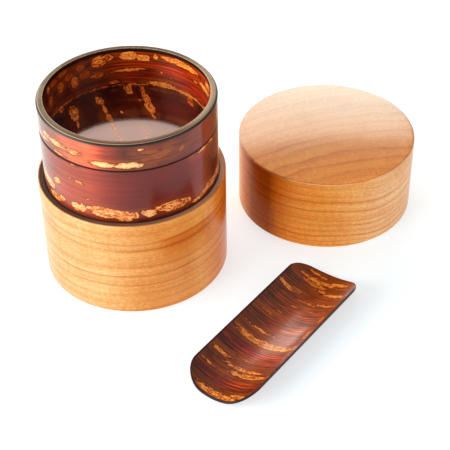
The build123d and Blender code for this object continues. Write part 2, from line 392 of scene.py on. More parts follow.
def figure_group():
    """Colour, roughness and relief of lacquered cherry wood on its flat sheet."""
    tree, given = start_group(
        "cherry_figure",
        [
            ("Sheet", "Vector"), ("Growth", "Float", 0.0),
            ("Light Wood", "Color", (0.83, 0.41, 0.110, 1)),
            ("Dark Wood", "Color", (0.74, 0.28, 0.055, 1)),
            ("Late Wood", "Color", (0.48, 0.10, 0.010, 1)),
        ],
        [("Color", "Color"), ("Roughness", "Float"), ("Height", "Float")],
    )
    sheet, light, dark = given["Sheet"], given["Light Wood"], given["Dark Wood"]
    stripe = speckle(tree, sheet, (0.012, 0.30, 1.0), 4.0, 0.6)
    fibre = speckle(tree, sheet, (0.05, 1.5, 1.0), 5.0, 0.75)
    pores = speckle(tree, sheet, (0.42, 2.0, 1.0), 3.0, 0.65)
    flame = speckle(tree, sheet, (0.085, 0.040, 1.0), 2.0, 0.5)
    curl = speckle(tree, sheet, (0.50, 0.20, 1.0), 3.0, 0.6)
    silk = speckle(tree, sheet, (0.55, 1.7, 1.0), 4.0, 0.8)
    wood = stain(
        tree, dark,
        (stripe, 0.34, 0.66, 1.0, light), (flame, 0.48, 0.68, 0.7, dark),
        (curl, 0.48, 0.70, 0.5, light), (fibre, 0.50, 0.34, 0.7, dark),
        (pores, 0.46, 0.34, 0.4, (0.94, 0.56, 0.18, 1)),
        (silk, 0.52, 0.66, 0.5, (1.0, 0.58, 0.20, 1)),
        (silk, 0.47, 0.34, 0.5, (0.58, 0.205, 0.036, 1)),
    )
    fleck = step(tree, pores, 0.56, 0.70)
    growth = times(tree, given["Growth"], step(tree, pores, 0.30, 0.62, 1.0, 0.6))
    for share in (times(tree, fleck, 0.50), growth):
        wood = blend(tree, share, wood, given["Late Wood"])
    rough = step(tree, fibre, 0.3, 0.7, 0.27, 0.20)
    height = less(tree, times(tree, fibre, 0.5), fleck)
    place(tree, "NodeGroupOutput", {0: wood, 1: rough, 2: height})
    return tree


cherry_figure = figure_group()


def tones_along(tree, along, painted_light_and_tones):
    """How a sheet's colour drifts along its length, in painted light and shade and in its own tone:
    each tone is (millimetres, red, green, blue).
    """
    first, last = painted_light_and_tones[0][0], painted_light_and_tones[-1][0]
    ramp = place(
        tree, "ShaderNodeValToRGB", {0: over(tree, less(tree, along, first), last - first)}
    )
    stops = ramp.color_ramp.elements
    stops[0].color, stops[1].color = (*painted_light_and_tones[0][1:], 1), (*painted_light_and_tones[-1][1:], 1)
    for spot, *tone in painted_light_and_tones[1:-1]:
        stops.new((spot - first) / (last - first)).color = (*tone, 1)
    return ramp.outputs["Color"]


def growth_lines(tree, height, low, high, lines):
    """Dark growth lines at given heights of a sheet: (height, darkness, below, above)."""
    along = over(tree, less(tree, height, low), high - low)
    ramp = place(tree, "ShaderNodeValToRGB", {0: along})
    stops = ramp.color_ramp.elements
    stops[0].position, stops[0].color = 0.0, (0, 0, 0, 1)
    stops[1].position, stops[1].color = 1.0, (0, 0, 0, 1)
    for middle, dark, below, above in lines:
        for reach, shade in ((-below, 0.0), (0.0, dark), (above, 0.0)):
            spot = min(max((middle + reach - low) / (high - low), 0.0), 1.0)
            stops.new(spot).color = (shade, shade, shade, 1)
    return ramp.outputs["Color"]


def band(tree, value, rises, full, fades, ends, share=1.0):
    """A soft band of a value: where it rises, is full, fades and ends."""
    return times(tree, step(tree, value, rises, full), step(tree, value, ends, fades, 0.0, share))


def cherry_finish(name, sheet_of, wave, low, high, lines, painted_light_and_tones=None, drift="X", lacquer=0.02,
                  shine=0.22, edge_highlight=None, flame=None, **woods):
    """Lacquered cherry veneer: wave is how the growth lines rise along the sheet.

    A flame is a figured stretch of the sheet: (where it begins, is full, fades and ends along
    the sheet, its tints up the sheet).
    An edge highlight is (centre, inner radius, outer radius): a pale line painted as a highlight
    along the rounded edge, with a darker line of painted shade just inside it.
    """
    finish, tree, shader, where = start_finish(
        name, Specular_IOR_Level=shine, Coat_Weight=lacquer, Coat_Roughness=0.14, Coat_IOR=1.5
    )
    sheet = sheet_of(tree, where)
    parts = parts_of(tree, sheet)
    height = plus(tree, parts["Y"], wave(tree, parts))
    for stretch, rise in (((0.014, 0.045, 1.0), 1.4), ((0.06, 0.16, 1.0), 0.45)):
        ripple = speckle(tree, sheet, stretch, 1.0)
        height = plus(tree, height, step(tree, ripple, 0.0, 1.0, -rise, rise))
    growth = growth_lines(tree, height, low, high, lines)
    fade = step(tree, speckle(tree, sheet, (0.030, 0.12, 1.0), 2.0), 0.3, 0.62, 0.5, 1.0)
    figure = place(tree, "ShaderNodeGroup", node_tree=cherry_figure)
    tree.links.new(join_parts(tree, parts["X"], height), figure.inputs["Sheet"])
    tree.links.new(times(tree, growth, fade), figure.inputs["Growth"])
    set_plain(figure, woods)
    colour = figure.outputs["Color"]
    # The tones paint light and shade along the sheet, with the wood's own tone
    if painted_light_and_tones:
        colour = blend(tree, 1.0, colour, tones_along(tree, parts[drift], painted_light_and_tones), "MULTIPLY")
    if flame:
        along_sheet, tints = flame
        figured = band(tree, parts["X"], *along_sheet)
        colour = blend(tree, figured, colour, tones_along(tree, height, tints), "MULTIPLY")
    # A pale line is painted along the rounded edge as a highlight, brown at the left and pale
    # further right, with a line of painted shade just inside it
    if edge_highlight:
        centre, inner, outer = edge_highlight
        reach = reach_from_axis(tree, in_millimetres(tree, where, centre))
        edge_shade = band(tree, reach, inner - 0.7, inner - 0.4, inner - 0.15, inner, 0.5)
        colour = blend(tree, edge_shade, colour, (0.52, 0.125, 0.012, 1))
        pale_edge_highlight = band(tree, reach, inner, inner + 0.08, outer - 0.03, outer, 0.85)
        pale_edge_highlight = times(tree, pale_edge_highlight, step(tree, ripple, 0.30, 0.55, 0.4, 1.0))
        highlight_side = step(tree, parts["X"], -27.0, -12.0)
        pale = blend(tree, highlight_side, (0.26, 0.075, 0.018, 1), (1.0, 0.62, 0.33, 1))
        colour = blend(tree, pale_edge_highlight, colour, pale)
    show(tree, shader, colour, figure.outputs["Roughness"], figure.outputs["Height"], 0.35, 0.03)
    return finish


sleeve_finish = cherry_finish(
    "cherry_veneer_sleeve",
    sheet_of=wound_sheet(FACE_R, turn=20),
    wave=lambda tree, parts: times(tree, parts["X"], -0.022),
    low=-6.0, high=58.0,
    lines=(
        (1.6, 0.55, 1.3, 0.4), (6.4, 0.40, 1.5, 0.5), (11.5, 0.45, 1.5, 0.5),
        (17.0, 0.75, 1.3, 0.4), (22.6, 1.00, 1.4, 0.35), (28.0, 0.40, 1.5, 0.6),
        (31.4, 0.35, 1.5, 0.6), (38.4, 1.00, 1.7, 0.45), (42.2, 0.75, 1.4, 0.4),
        (47.4, 0.40, 1.5, 0.5),
    ),
    # The tones paint light and shade round the sleeve: paler and whiter towards the left, where the
    # light falls, and darker towards the right, beside the lid; they also carry the wood's own tone
    painted_light_and_tones=(
        (-112, 1.0, 0.86, 0.95), (-60, 0.97, 0.94, 1.6), (-52, 0.97, 1.02, 1.7),
        (-40, 0.97, 1.13, 2.0), (-28, 0.97, 1.26, 2.1), (-14, 0.99, 1.03, 1.25),
        (-5, 1.02, 0.94, 0.96), (5, 1.03, 0.85, 0.72), (12, 1.04, 0.82, 0.62),
        (20, 1.12, 1.00, 0.85), (28, 1.06, 0.83, 0.60), (36, 1.00, 0.69, 0.42),
        (52, 0.90, 0.45, 0.12), (62, 0.93, 0.60, 0.40), (98, 1.0, 0.86, 0.95),
    ),
    flame=((-4, 6, 26, 36), (
        (0, 1.05, 1.18, 1.6), (20, 1.05, 1.18, 1.6), (29, 1.0, 1.0, 1.0),
        (34, 0.96, 0.92, 0.88), (37, 0.91, 0.78, 0.64), (42.2, 0.91, 0.75, 0.60),
        (43.2, 1.08, 1.22, 1.55), (50, 1.08, 1.22, 1.55), (60, 1.05, 1.1, 1.2),
    )),
)
sleeve_face = wind_wall(
    "sleeve_cherry_face", sleeve_finish, PLIES_R, FACE_R, 0.0, SLEEVE_RIM,
    edges=(CRISP, 0.2, 0.5, CRISP), segments=288, rows=(6, 1),
)
hand_over(sleeve_face, "canister", "sleeve_veneer")


# Underside
# A disc of the same veneer is let in flush inside the sleeve's foot, over the wooden disc
# that closes the inner tube. Both are flat, so the CAD solids stay and only take a finish.
def dress(node, finish):
    """Gives a CAD node its finish."""
    materials = nodes[node].data.materials
    materials.clear()
    materials.append(finish)


def level_sheet(heading, centre=(0.0, 0.0)):
    """How a finish finds the sheet of a level disc, whose lines run at a heading from +X."""
    return lambda tree, where: in_millimetres(tree, where, centre, heading)


UNDERSIDE_HEADING = 12
NECK_LINING_R = 40.3     # the wooden disc fills the inner tube up to its wound wood
underside_finish = cherry_finish(
    "cherry_veneer_underside",
    sheet_of=level_sheet(UNDERSIDE_HEADING),
    wave=lambda tree, parts: times(tree, parts["X"], 0.15),
    low=-60.0, high=60.0,
    lines=(
        (-38, 0.5, 3, 0.8), (-27, 0.7, 4, 0.8), (-13, 0.5, 4, 1), (-2, 0.8, 4, 0.8),
        (11, 0.5, 4, 1), (24, 0.7, 4, 0.8), (36, 0.5, 4, 1),
    ),
)
dress("base_veneer", underside_finish)
dress("base_core", ply_finish("wound_wood_base", 0.0, NECK_LINING_R, 3))


# Neck
# The inner tube stands up out of the sleeve: wound wood with a sheet of cherry bark glued
# round it and another inside. The bark is scraped, burnished and lacquered to a deep gloss,
# and its corky breathing marks show as rough gold patches along the foot.
NECK_CORE_R = 41.4
NECK_BORE_R = 40.0
BASE_TOP = 4.6
MOUTH = 81.0
CLEAR = -4.0             # depth inside a mark, where there is none
EVEN = 0.5               # paleness of a mark that is neither dark nor pale
WAVER = 0.9              # how far a mark's outline wavers along its sheet
neck_plies = wind_wall(
    "neck_wound_plies", ply_finish("wound_wood_neck", NECK_LINING_R, NECK_CORE_R, 2),
    NECK_LINING_R, NECK_CORE_R, UNDER_VENEER, MOUTH, plies=2,
)
hand_over(neck_plies, "canister", "neck_core")


def bark_group():
    """Polished cherry bark on its flat sheet: X runs along its lines, in millimetres."""
    tree, given = start_group(
        "bark_figure",
        [
            ("Sheet", "Vector"), ("Mark", "Float", CLEAR), ("Pale", "Float", EVEN),
            ("Tint", "Color", (1, 1, 1, 1)), ("Cork Tint", "Color", (1, 1, 1, 1)),
            ("Streak", "Float", 0.45), ("Halo", "Float", 0.35), ("Satin", "Float", 0.28),
            ("Fineness", "Float", 1.0),
            ("Dark Bark", "Color", (0.040, 0.0035, 0.0012, 1)),
            ("Red Bark", "Color", (0.125, 0.010, 0.003, 1)),
            ("Bright Bark", "Color", (0.26, 0.035, 0.007, 1)),
        ],
        [("Color", "Color"), ("Roughness", "Float"), ("Height", "Float")],
    )
    sheet, paleness, streak = given["Sheet"], given["Pale"], given["Streak"]
    finer = place(
        tree, "ShaderNodeVectorMath", {0: sheet, "Scale": given["Fineness"]}, operation="SCALE"
    ).outputs[0]
    lines = speckle(tree, finer, (0.030, 1.15, 1.0), 4.0, 0.62)
    cloud = speckle(tree, finer, (0.030, 0.11, 1.0), 3.0, 0.55)
    fine = speckle(tree, sheet, (1.0, 1.9, 1.0), 3.0, 0.6)
    coarse = speckle(tree, sheet, (0.40, 0.95, 1.0), 2.0, 0.5)
    edge = plus(tree, given["Mark"], step(tree, coarse, 0.2, 0.8, -0.38, 0.38))
    edge = plus(tree, edge, step(tree, fine, 0.25, 0.75, -0.16, 0.16))

    bark = stain(
        tree, given["Dark Bark"],
        (cloud, 0.32, 0.68, 1.0, given["Red Bark"]),
        (lines, 0.48, 0.38, streak, (0.012, 0.001, 0.0005, 1)),
        (lines, 0.52, 0.65, streak, given["Bright Bark"]),
    )
    # The tint brings in a piece's tones, which paint light and shade along with the bark's own tone
    bark = blend(tree, 1.0, bark, given["Tint"], "MULTIPLY")

    # Round a mark the bark is stained orange brown in streaks
    halo = times(tree, given["Halo"], step(tree, lines, 0.36, 0.56, 0.25, 1.0))
    bark = stain(tree, bark, (edge, -3.4, 0.1, halo, (0.40, 0.090, 0.008, 1)))

    # Inside it is orange cork, ringed like a knot, with dark red curls and pale cores
    swirl = speckle(tree, sheet, (0.27, 0.44, 1.0), 3.0, 0.6)
    rings = reckon(tree, "MULTIPLY_ADD", swirl, 2.9, times(tree, edge, 0.45))
    rings = reckon(tree, "PINGPONG", rings, 0.5)
    core = times(tree, step(tree, rings, 0.26, 0.42), step(tree, fine, 0.36, 0.54, 0.15, 0.95))
    core = times(tree, core, step(tree, edge, 0.05, 0.8, 0.2, 1.0))
    cork = stain(
        tree, (0.50, 0.085, 0.010, 1),
        (edge, -0.1, 0.55, 1.0, (0.88, 0.33, 0.055, 1)),
        (rings, 0.20, 0.03, 0.95, (0.22, 0.030, 0.005, 1)),
    )
    cork = blend(tree, core, cork, (1.0, 0.68, 0.28, 1))
    pale_core = plus(tree, edge, step(tree, fine, 0.3, 0.7, -0.35, 0.35))
    pale_core = stain(
        tree, (0.86, 0.34, 0.060, 1), (pale_core, 0.15, 0.85, 1.0, (1.0, 0.74, 0.36, 1))
    )
    cork = stain(
        tree, cork,
        (fine, 0.42, 0.31, 0.75, (0.22, 0.036, 0.005, 1)),
        (paleness, 0.55, 1.0, 0.85, pale_core),
        (paleness, 0.38, 0.10, 0.85, (0.52, 0.120, 0.014, 1)),
    )
    cork = blend(tree, 1.0, cork, given["Cork Tint"], "MULTIPLY")

    # A mark ends in a thin dark outline, and stands a little proud
    inside = step(tree, edge, -0.14, 0.20)
    strength = step(tree, paleness, 0.0, 0.5, 0.15, 1.0)
    colour = blend(tree, times(tree, inside, strength), bark, cork)
    outline = times(tree, strength, band(tree, edge, -0.48, -0.14, -0.04, 0.10, 0.75))
    colour = blend(tree, outline, colour, (0.06, 0.008, 0.001, 1))
    rough = reckon(tree, "MAXIMUM", given["Satin"], times(tree, inside, 0.5))
    proud = times(tree, times(tree, inside, fine), 0.8)
    height = plus(tree, times(tree, lines, 0.35), proud)
    place(tree, "NodeGroupOutput", {0: colour, 1: rough, 2: height})
    return tree


bark_figure = bark_group()


def bark_finish(name, sheet_of, gloss=0.08, seam=None, shaded_foot=None, painted_light_and_tones=None, drift="X",
                across=None, cut_edge=False, **figure_values):
    """Burnished bark under lacquer, with the marks pressed into the piece.

    A seam is the height of a joint painted black; at the neck's mouth the black is painted shade in
    the joint's gap. A shaded foot is the height of the part below, with painted shade on the bark
    just above it. Tones, which paint light and shade with the bark's own tone, run along the sheet
    or, with a drift of Y, up it, and those across run along X.
    """
    finish, tree, shader, where = start_finish(
        name, Specular_IOR_Level=1.0, Specular_Tint=(1.0, 0.30, 0.20, 1),
        Coat_Weight=1.0, Coat_Roughness=gloss, Coat_IOR=1.45,
    )
    figure = place(tree, "ShaderNodeGroup", node_tree=bark_figure)
    sheet = sheet_of(tree, where)
    tree.links.new(sheet, figure.inputs["Sheet"])
    for label in ("Mark", "Pale"):
        pressed = place(tree, "ShaderNodeAttribute", attribute_name=label.lower())
        tree.links.new(pressed.outputs["Fac"], figure.inputs[label])
    set_plain(figure, figure_values)
    colour = figure.outputs["Color"]
    # The tones paint light and shade along the sheet and across it, with the bark's own tone
    if painted_light_and_tones:
        parts = parts_of(tree, sheet)
        tint = tones_along(tree, parts[drift], painted_light_and_tones)
        if across:
            tint = blend(tree, 1.0, tint, tones_along(tree, parts["X"], across), "MULTIPLY")
        # Just above its foot the bark is painted darker, as shade where it stands out of the part
        # below
        if shaded_foot is not None:
            tint = stain(
                tree, tint, (parts["Y"], shaded_foot + 2.3, shaded_foot + 0.8, 0.55, (0.08, 0.10, 0.10, 1))
            )
        tree.links.new(tint, figure.inputs["Tint"])
    if seam is not None:
        # The joint is painted black as shade in its gap, wider towards its left, where more shade
        # falls
        spot = parts_of(tree, in_millimetres(tree, where))
        gap = reckon(tree, "ABSOLUTE", less(tree, spot["Z"], seam))
        wider_shade = step(tree, spot["X"], -44.0, -8.0, 0.55, 0.0)
        gap_shade = step(tree, less(tree, gap, wider_shade), 0.55, 0.38)
        colour = blend(tree, gap_shade, colour, (0.004, 0.003, 0.003, 1))
        tree.links.new(less(tree, 1.0, gap_shade), shader.inputs["Coat Weight"])
    if cut_edge:
        # The dark lacquer of the edge laps over the bark
        inset = place(tree, "ShaderNodeAttribute", attribute_name="inset").outputs["Fac"]
        dark = step(tree, inset, 0.90, 0.50, 0.0, 0.92)
        colour = blend(tree, dark, colour, (0.014, 0.014, 0.020, 1))
        tree.links.new(less(tree, 1.0, dark), shader.inputs["Coat Weight"])
    show(tree, shader, colour, figure.outputs["Roughness"], figure.outputs["Height"], 0.25, 0.04)
    return finish


noise.seed_set(5)        # the marks waver in the same way in every run


def press_marks(piece, marks, lay_flat):
    """Stores how deep inside a mark each point lies, in millimetres, and how pale the mark is.

    A mark is (along, across, length, breadth, lean in degrees, paleness) on the flat sheet.
    """
    placed = [
        (along, across, length / 2, breadth / 2, cos(radians(lean)), sin(radians(lean)), pale)
        for along, across, length, breadth, lean, pale in marks
    ]
    depths, pales = [], []
    for point in piece.data.vertices:
        along, across = lay_flat(point.co / MM)
        wander = noise.noise_vector(Vector((along * 0.25, across * 0.5, 5.0)))
        along += WAVER * wander.x
        across += WAVER / 2 * wander.y
        deepest, palest = CLEAR, EVEN
        for mark_along, mark_across, half_length, half_breadth, lean_cos, lean_sin, pale in placed:
            right, up = along - mark_along, across - mark_across
            too_far_along = abs(right) > half_length + 6
            if too_far_along or abs(up) > half_breadth + half_length + 4:
                continue
            run = (right * lean_cos + up * lean_sin) / half_length
            rise = (up * lean_cos - right * lean_sin) / half_breadth
            depth = half_breadth * (1.0 - hypot(run, rise))
            if depth > deepest:
                deepest, palest = depth, pale
        depths.append(deepest)
        pales.append(palest)
    for label, values in (("mark", depths), ("pale", pales)):
        stored = piece.data.attributes.new(label, "FLOAT", "POINT")
        stored.data.foreach_set("value", values)


def mark_wall(wall, radius, marks, centre=(0.0, 0.0)):
    """Presses marks into an upright wall: their places along it are in degrees."""
    def lay_flat(point):
        return atan2(point.x - centre[0], centre[1] - point.y) * radius, point.z

    press_marks(wall, [(radians(mark[0]) * radius, *mark[1:]) for mark in marks], lay_flat)


def turned_back(marks):
    """The same marks a whole turn lower, for the other end of the flat sheet."""
    return [(mark[0] - 360, *mark[1:]) for mark in marks]


def scatter_marks(seed, count, first, last, low, high, length, breadth, lean=(-5, 5),
                  pale=(0.2, 0.8)):
    """More marks of the same growth for the sides that the photograph doesn't show."""
    draw = random.Random(seed).uniform
    ranges = ((first, last), (low, high), length, breadth, lean, pale)
    return [tuple(draw(*limits) for limits in ranges) for _ in range(count)]


neck_marks = (
    (-65, 60.3, 17, 6.0, 0, 0.62), (-50, 65.7, 5.5, 4.0, 10, 0.55), (-54, 55.2, 11, 3.8, 0, 0.60),
    (-46, 57.0, 4, 2.6, 0, 0.50), (-34.5, 56.6, 6, 4.6, 0, 0.70), (-29.5, 56.8, 4, 4.6, 0, 0.70),
    (-24.5, 58.4, 3, 2.2, 0, 0.55), (-14, 57.2, 14, 6.4, -4, 0.62), (-3, 56.8, 12, 4.4, -10, 0.60),
    (-1, 54.4, 7, 3.2, 0, 0.66), (5, 56.2, 4, 3.8, 0, 0.50), (14.5, 56.3, 5.5, 4.4, 0, 0.85),
    (10.5, 57.4, 3, 2.2, 0, 0.55), (23, 58.0, 7, 3.8, 0, 0.55), (31, 57.6, 15, 5.8, -5, 0.50),
    (40.5, 57, 5, 3.6, 0, 0.45), (50, 54.2, 9, 2.4, 3, 0.50), (57, 55.5, 8, 2.8, 5, 0.38),
    (66, 56.5, 14, 4.0, 0, 0.34), (77, 57, 10, 4.6, 0, 0.38), (-30, 71.3, 5, 1.7, -12, 0.55),
    (-38, 71.9, 3, 0.9, 0, 0.35), (-25, 63.2, 3, 0.9, -10, 0.35), (-33, 80.2, 4, 1.0, 0, 0.45),
    (57, 79.6, 9, 1.8, 0, 0.50), (66, 79.8, 5, 1.6, 0, 0.50),
)
neck_finish = bark_finish(
    "cherry_bark_neck", wound_sheet(NECK_R, turn=-25),
    seam=MOUTH, shaded_foot=SLEEVE_RIM, gloss=0.15, Streak=0.22, Satin=0.6, Halo=0.36,
    Cork_Tint=(1.08, 0.90, 0.90, 1),
    Dark_Bark=(0.11, 0.008, 0.004, 1), Red_Bark=(0.15, 0.011, 0.006, 1),
    # The tones paint a pale sheen towards the left, where the light falls, and a dark reflection of
    # the lid towards the right; they also carry the bark's own tone
    painted_light_and_tones=(
        (-66, 1.0, 1.2, 1.2), (-28, 1.3, 3.0, 3.0), (-14, 2.2, 4.0, 4.0), (2, 2.7, 5.0, 5.0),
        (9, 1.8, 2.6, 2.6), (16, 1.2, 1.1, 1.1), (26, 1.0, 0.6, 0.6), (46, 1.1, 0.5, 0.4),
        (55, 2.1, 0.9, 0.9), (61, 1.5, 0.6, 0.5), (67, 0.5, 0.15, 0.05), (76, 0.5, 0.15, 0.05),
        (100, 1.0, 1.2, 1.2),
    ),
)
neck_sheet = wind_wall(
    "neck_bark_sheet", neck_finish, NECK_CORE_R, NECK_R, UNDER_VENEER, MOUTH,
    edges=(CRISP, 0.25, CRISP, CRISP), segments=400, rows=(128, 1),
)
back_of_neck = (
    scatter_marks(3, 26, 84, 276, 53.5, 58.5, (5, 15), (2.5, 6), (-5, 5), (0.35, 0.75))
    + scatter_marks(4, 9, 84, 276, 60, 79, (3, 14), (0.8, 3), (-6, 6), (0.3, 0.8))
)
mark_wall(neck_sheet, NECK_R, [*neck_marks, *back_of_neck, *turned_back(back_of_neck)])
hand_over(neck_sheet, "canister", "neck_bark")

neck_inside = wind_wall(
    "neck_bark_inside",
    bark_finish("cherry_bark_neck_inside", wound_sheet(NECK_BORE_R, turn=150)),
    NECK_BORE_R, NECK_LINING_R, BASE_TOP, MOUTH, edges=(0.2, CRISP, CRISP, CRISP),
    segments=320, rows=(1, 90),
)
mark_wall(neck_inside, NECK_BORE_R, scatter_marks(11, 34, -180, 180, 8, 78, (4, 22), (1.2, 4.5)))
hand_over(neck_inside, "canister", "neck_lining")


# Floor of the tea chamber
# A disc of bark covers the inside of the wooden base, so that the tea touches only bark. The
# face of such a disc is made of many thin rings, which carry its marks.
BARK = 0.3               # thickness of the sheet


def close_piece(name, finish, points, faces, sharp=SHARP):
    """One closed piece, smooth except where it turns by more than an angle in degrees."""
    mesh = bpy.data.meshes.new(name)
    mesh.from_pydata(points, [], faces)
    work = bmesh.new()
    work.from_mesh(mesh)
    bmesh.ops.recalc_face_normals(work, faces=work.faces)
    work.to_mesh(mesh)
    work.free()
    mesh.materials.append(finish)
    mesh.shade_smooth()
    mesh.set_sharp_from_angle(angle=radians(sharp))
    piece = bpy.data.objects.new(name, mesh)
    scene.collection.objects.link(piece)
    return piece


def turn_piece(name, finish, outline, centre=(0.0, 0.0), segments=200, sharp=SHARP):
    """Turns an outline of (radius, height) points in millimetres into a closed piece."""
    points, rings = [], []
    for radius, height in outline:
        count = segments if radius > 0 else 1
        rings.append(range(len(points), len(points) + count))
        for number in range(count):
            angle = 2 * pi * number / segments
            points.append((
                (centre[0] + radius * cos(angle)) * MM,
                (centre[1] + radius * sin(angle)) * MM,
                height * MM,
            ))
    faces = []
    for ring, following in zip(rings, rings[1:] + rings[:1]):
        if len(ring) == len(following) == 1:
            continue
        for number in range(segments):
            beside = (number + 1) % segments
            if len(ring) == 1:
                faces.append((ring[0], following[number], following[beside]))
            elif len(following) == 1:
                faces.append((ring[number], following[0], ring[beside]))
            else:
                faces.append((ring[number], following[number], following[beside], ring[beside]))
    return close_piece(name, finish, points, faces, sharp)


def disc_outline(radius, face, back, rings):
    """Outline of a flat disc whose face, which may look up or down, is divided into rings."""
    across_face = [(radius * number / rings, face) for number in range(1, rings + 1)]
    return [(0, face), *across_face, (radius, back), (0, back)]


def flat_sheet(heading, centre=(0.0, 0.0)):
    """How a point of a level disc lies on a sheet whose lines run at a heading from +X."""
    run, rise = cos(radians(heading)), sin(radians(heading))

    def lay_flat(point):
        x, y = point.x - centre[0], point.y - centre[1]
        return x * run + y * rise, y * run - x * rise
    return lay_flat


CHAMBER_HEADING = 35
chamber_floor = turn_piece(
    "chamber_bark_floor", bark_finish("cherry_bark_chamber", level_sheet(CHAMBER_HEADING)),
    disc_outline(NECK_BORE_R, BASE_TOP + BARK, BASE_TOP, 44),
)
press_marks(
    chamber_floor, scatter_marks(21, 16, -38, 38, -38, 38, (5, 20), (1.5, 4)),
    flat_sheet(CHAMBER_HEADING),
)
hand_over(chamber_floor, "canister", "base_bark")


# Inner lid: tube, collar and plug
# A thinner wound tube makes plug and wall in one. The plug is wrapped in bark and slides into
# the neck, and a collar of more plies is wound on above it, out to the neck's own diameter.
PLUG_R = 39.75
TUBE_R = 39.45
TUBE_BORE_R = 38.75
PLUG_BOTTOM = 72.0
HOOP_BOTTOM = 94.1
dish_tube = wind_wall(
    "dish_wound_tube", ply_finish("wound_wood_dish", TUBE_BORE_R, TUBE_R, 1),
    TUBE_BORE_R, TUBE_R, PLUG_BOTTOM, HOOP_BOTTOM,
)
hand_over(dish_tube, "inner_lid", "inner_lid_core")
dish_collar = wind_wall(
    "dish_collar_plies", ply_finish("wound_wood_collar", TUBE_R, NECK_CORE_R, 3),
    TUBE_R, NECK_CORE_R, MOUTH, HOOP_BOTTOM, plies=3,
)
hand_over(dish_collar, "inner_lid", "inner_lid_collar")
plug_sheet = wind_wall(
    "dish_plug_bark", bark_finish("cherry_bark_plug", wound_sheet(PLUG_R, turn=40)),
    TUBE_R, PLUG_R, PLUG_BOTTOM, MOUTH, edges=(CRISP, CRISP, 0.2, CRISP),
    segments=300, rows=(14, 1),
)
mark_wall(plug_sheet, PLUG_R, scatter_marks(31, 14, -180, 180, 73, 80, (4, 16), (1, 3.5)))
hand_over(plug_sheet, "inner_lid", "inner_lid_plug_bark")


# Inner lid: bark outside
# The collar's bark carries the neck's surface on upwards, so that only a hair line shows
# between them. The edges of both sheets are broken there, and the hair line is painted black as
# shade in the gap.
collar_marks = (
    (-46, 87.6, 12, 3.0, 3, 0.68), (-33, 87.3, 8.5, 2.6, 0, 0.64), (-58, 87.8, 8, 2.0, 0, 0.52),
    (-64, 84.8, 12, 1.8, 8, 0.55), (-46, 82.7, 6, 1.0, 0, 0.62), (-12.5, 84.2, 11.5, 2.7, -2, 1.0),
    (3.8, 84.1, 13, 3.0, 0, 1.0), (11, 92.2, 2.4, 1.3, 20, 0.90), (17, 90.2, 9, 2.2, -5, 0.12),
    (23, 87.5, 9, 3.6, 8, 0.14), (14, 86.8, 6, 2.4, 0, 0.10), (29, 89.8, 6, 3.0, 0, 0.10),
    (38, 87.2, 4, 1.2, 20, 0.20), (-24, 85.6, 6, 1.2, 0, 0.18),
)
collar_finish = bark_finish(
    "cherry_bark_collar", wound_sheet(NECK_R, turn=12),
    seam=MOUTH, gloss=0.11, Streak=0.40, Satin=0.6, Halo=0.45,
    Dark_Bark=(0.10, 0.009, 0.003, 1), Red_Bark=(0.17, 0.018, 0.005, 1),
    # The tones paint a red sheen towards the left, where the light falls, and shade towards the
    # right; they also carry the bark's own tone
    painted_light_and_tones=(
        (-90, 1.0, 1.0, 1.0), (-60, 0.5, 2.0, 4.0), (-50, 0.8, 3.4, 6.4), (-43, 1.6, 4.6, 8.5),
        (-35, 4.8, 9.8, 15.5), (-25, 6.6, 10.6, 15.0), (-17, 2.8, 3.4, 4.2),
        (-8, 0.75, 1.0, 1.0), (18, 0.9, 1.0, 1.0), (27, 1.5, 1.5, 1.3),
        (35, 1.9, 0.9, 0.7), (46, 0.6, 0.3, 0.2), (52, 0.6, 0.3, 0.2), (78, 1.0, 1.0, 1.0),
    ),
)
collar_sheet = wind_wall(
    "dish_bark_sheet", collar_finish, NECK_CORE_R, NECK_R, MOUTH, HOOP_BOTTOM,
    edges=(CRISP, CRISP, 0.25, CRISP), segments=400, rows=(32, 1),
)
back_of_collar = scatter_marks(37, 14, 84, 276, 82.5, 92.5, (4, 15), (1, 3.6), pale=(0.3, 0.95))
mark_wall(collar_sheet, NECK_R, [*collar_marks, *back_of_collar, *turned_back(back_of_collar)])
hand_over(collar_sheet, "inner_lid", "inner_lid_bark")


# Inner lid: hoop
# A turned wooden hoop caps the ends of all the plies: flat on top, bevelled outside and
# lacquered a dark olive grey. Its top is painted paler than its sides, with reflections and
# highlights painted on.
DISH_BORE_R = 38.45      # inside of the hoop and of the bark lining
HOOP_TOP = 95.4
HOOP_BEVEL = 1.15
HOOP_SHOULDER = NECK_R - HOOP_BEVEL


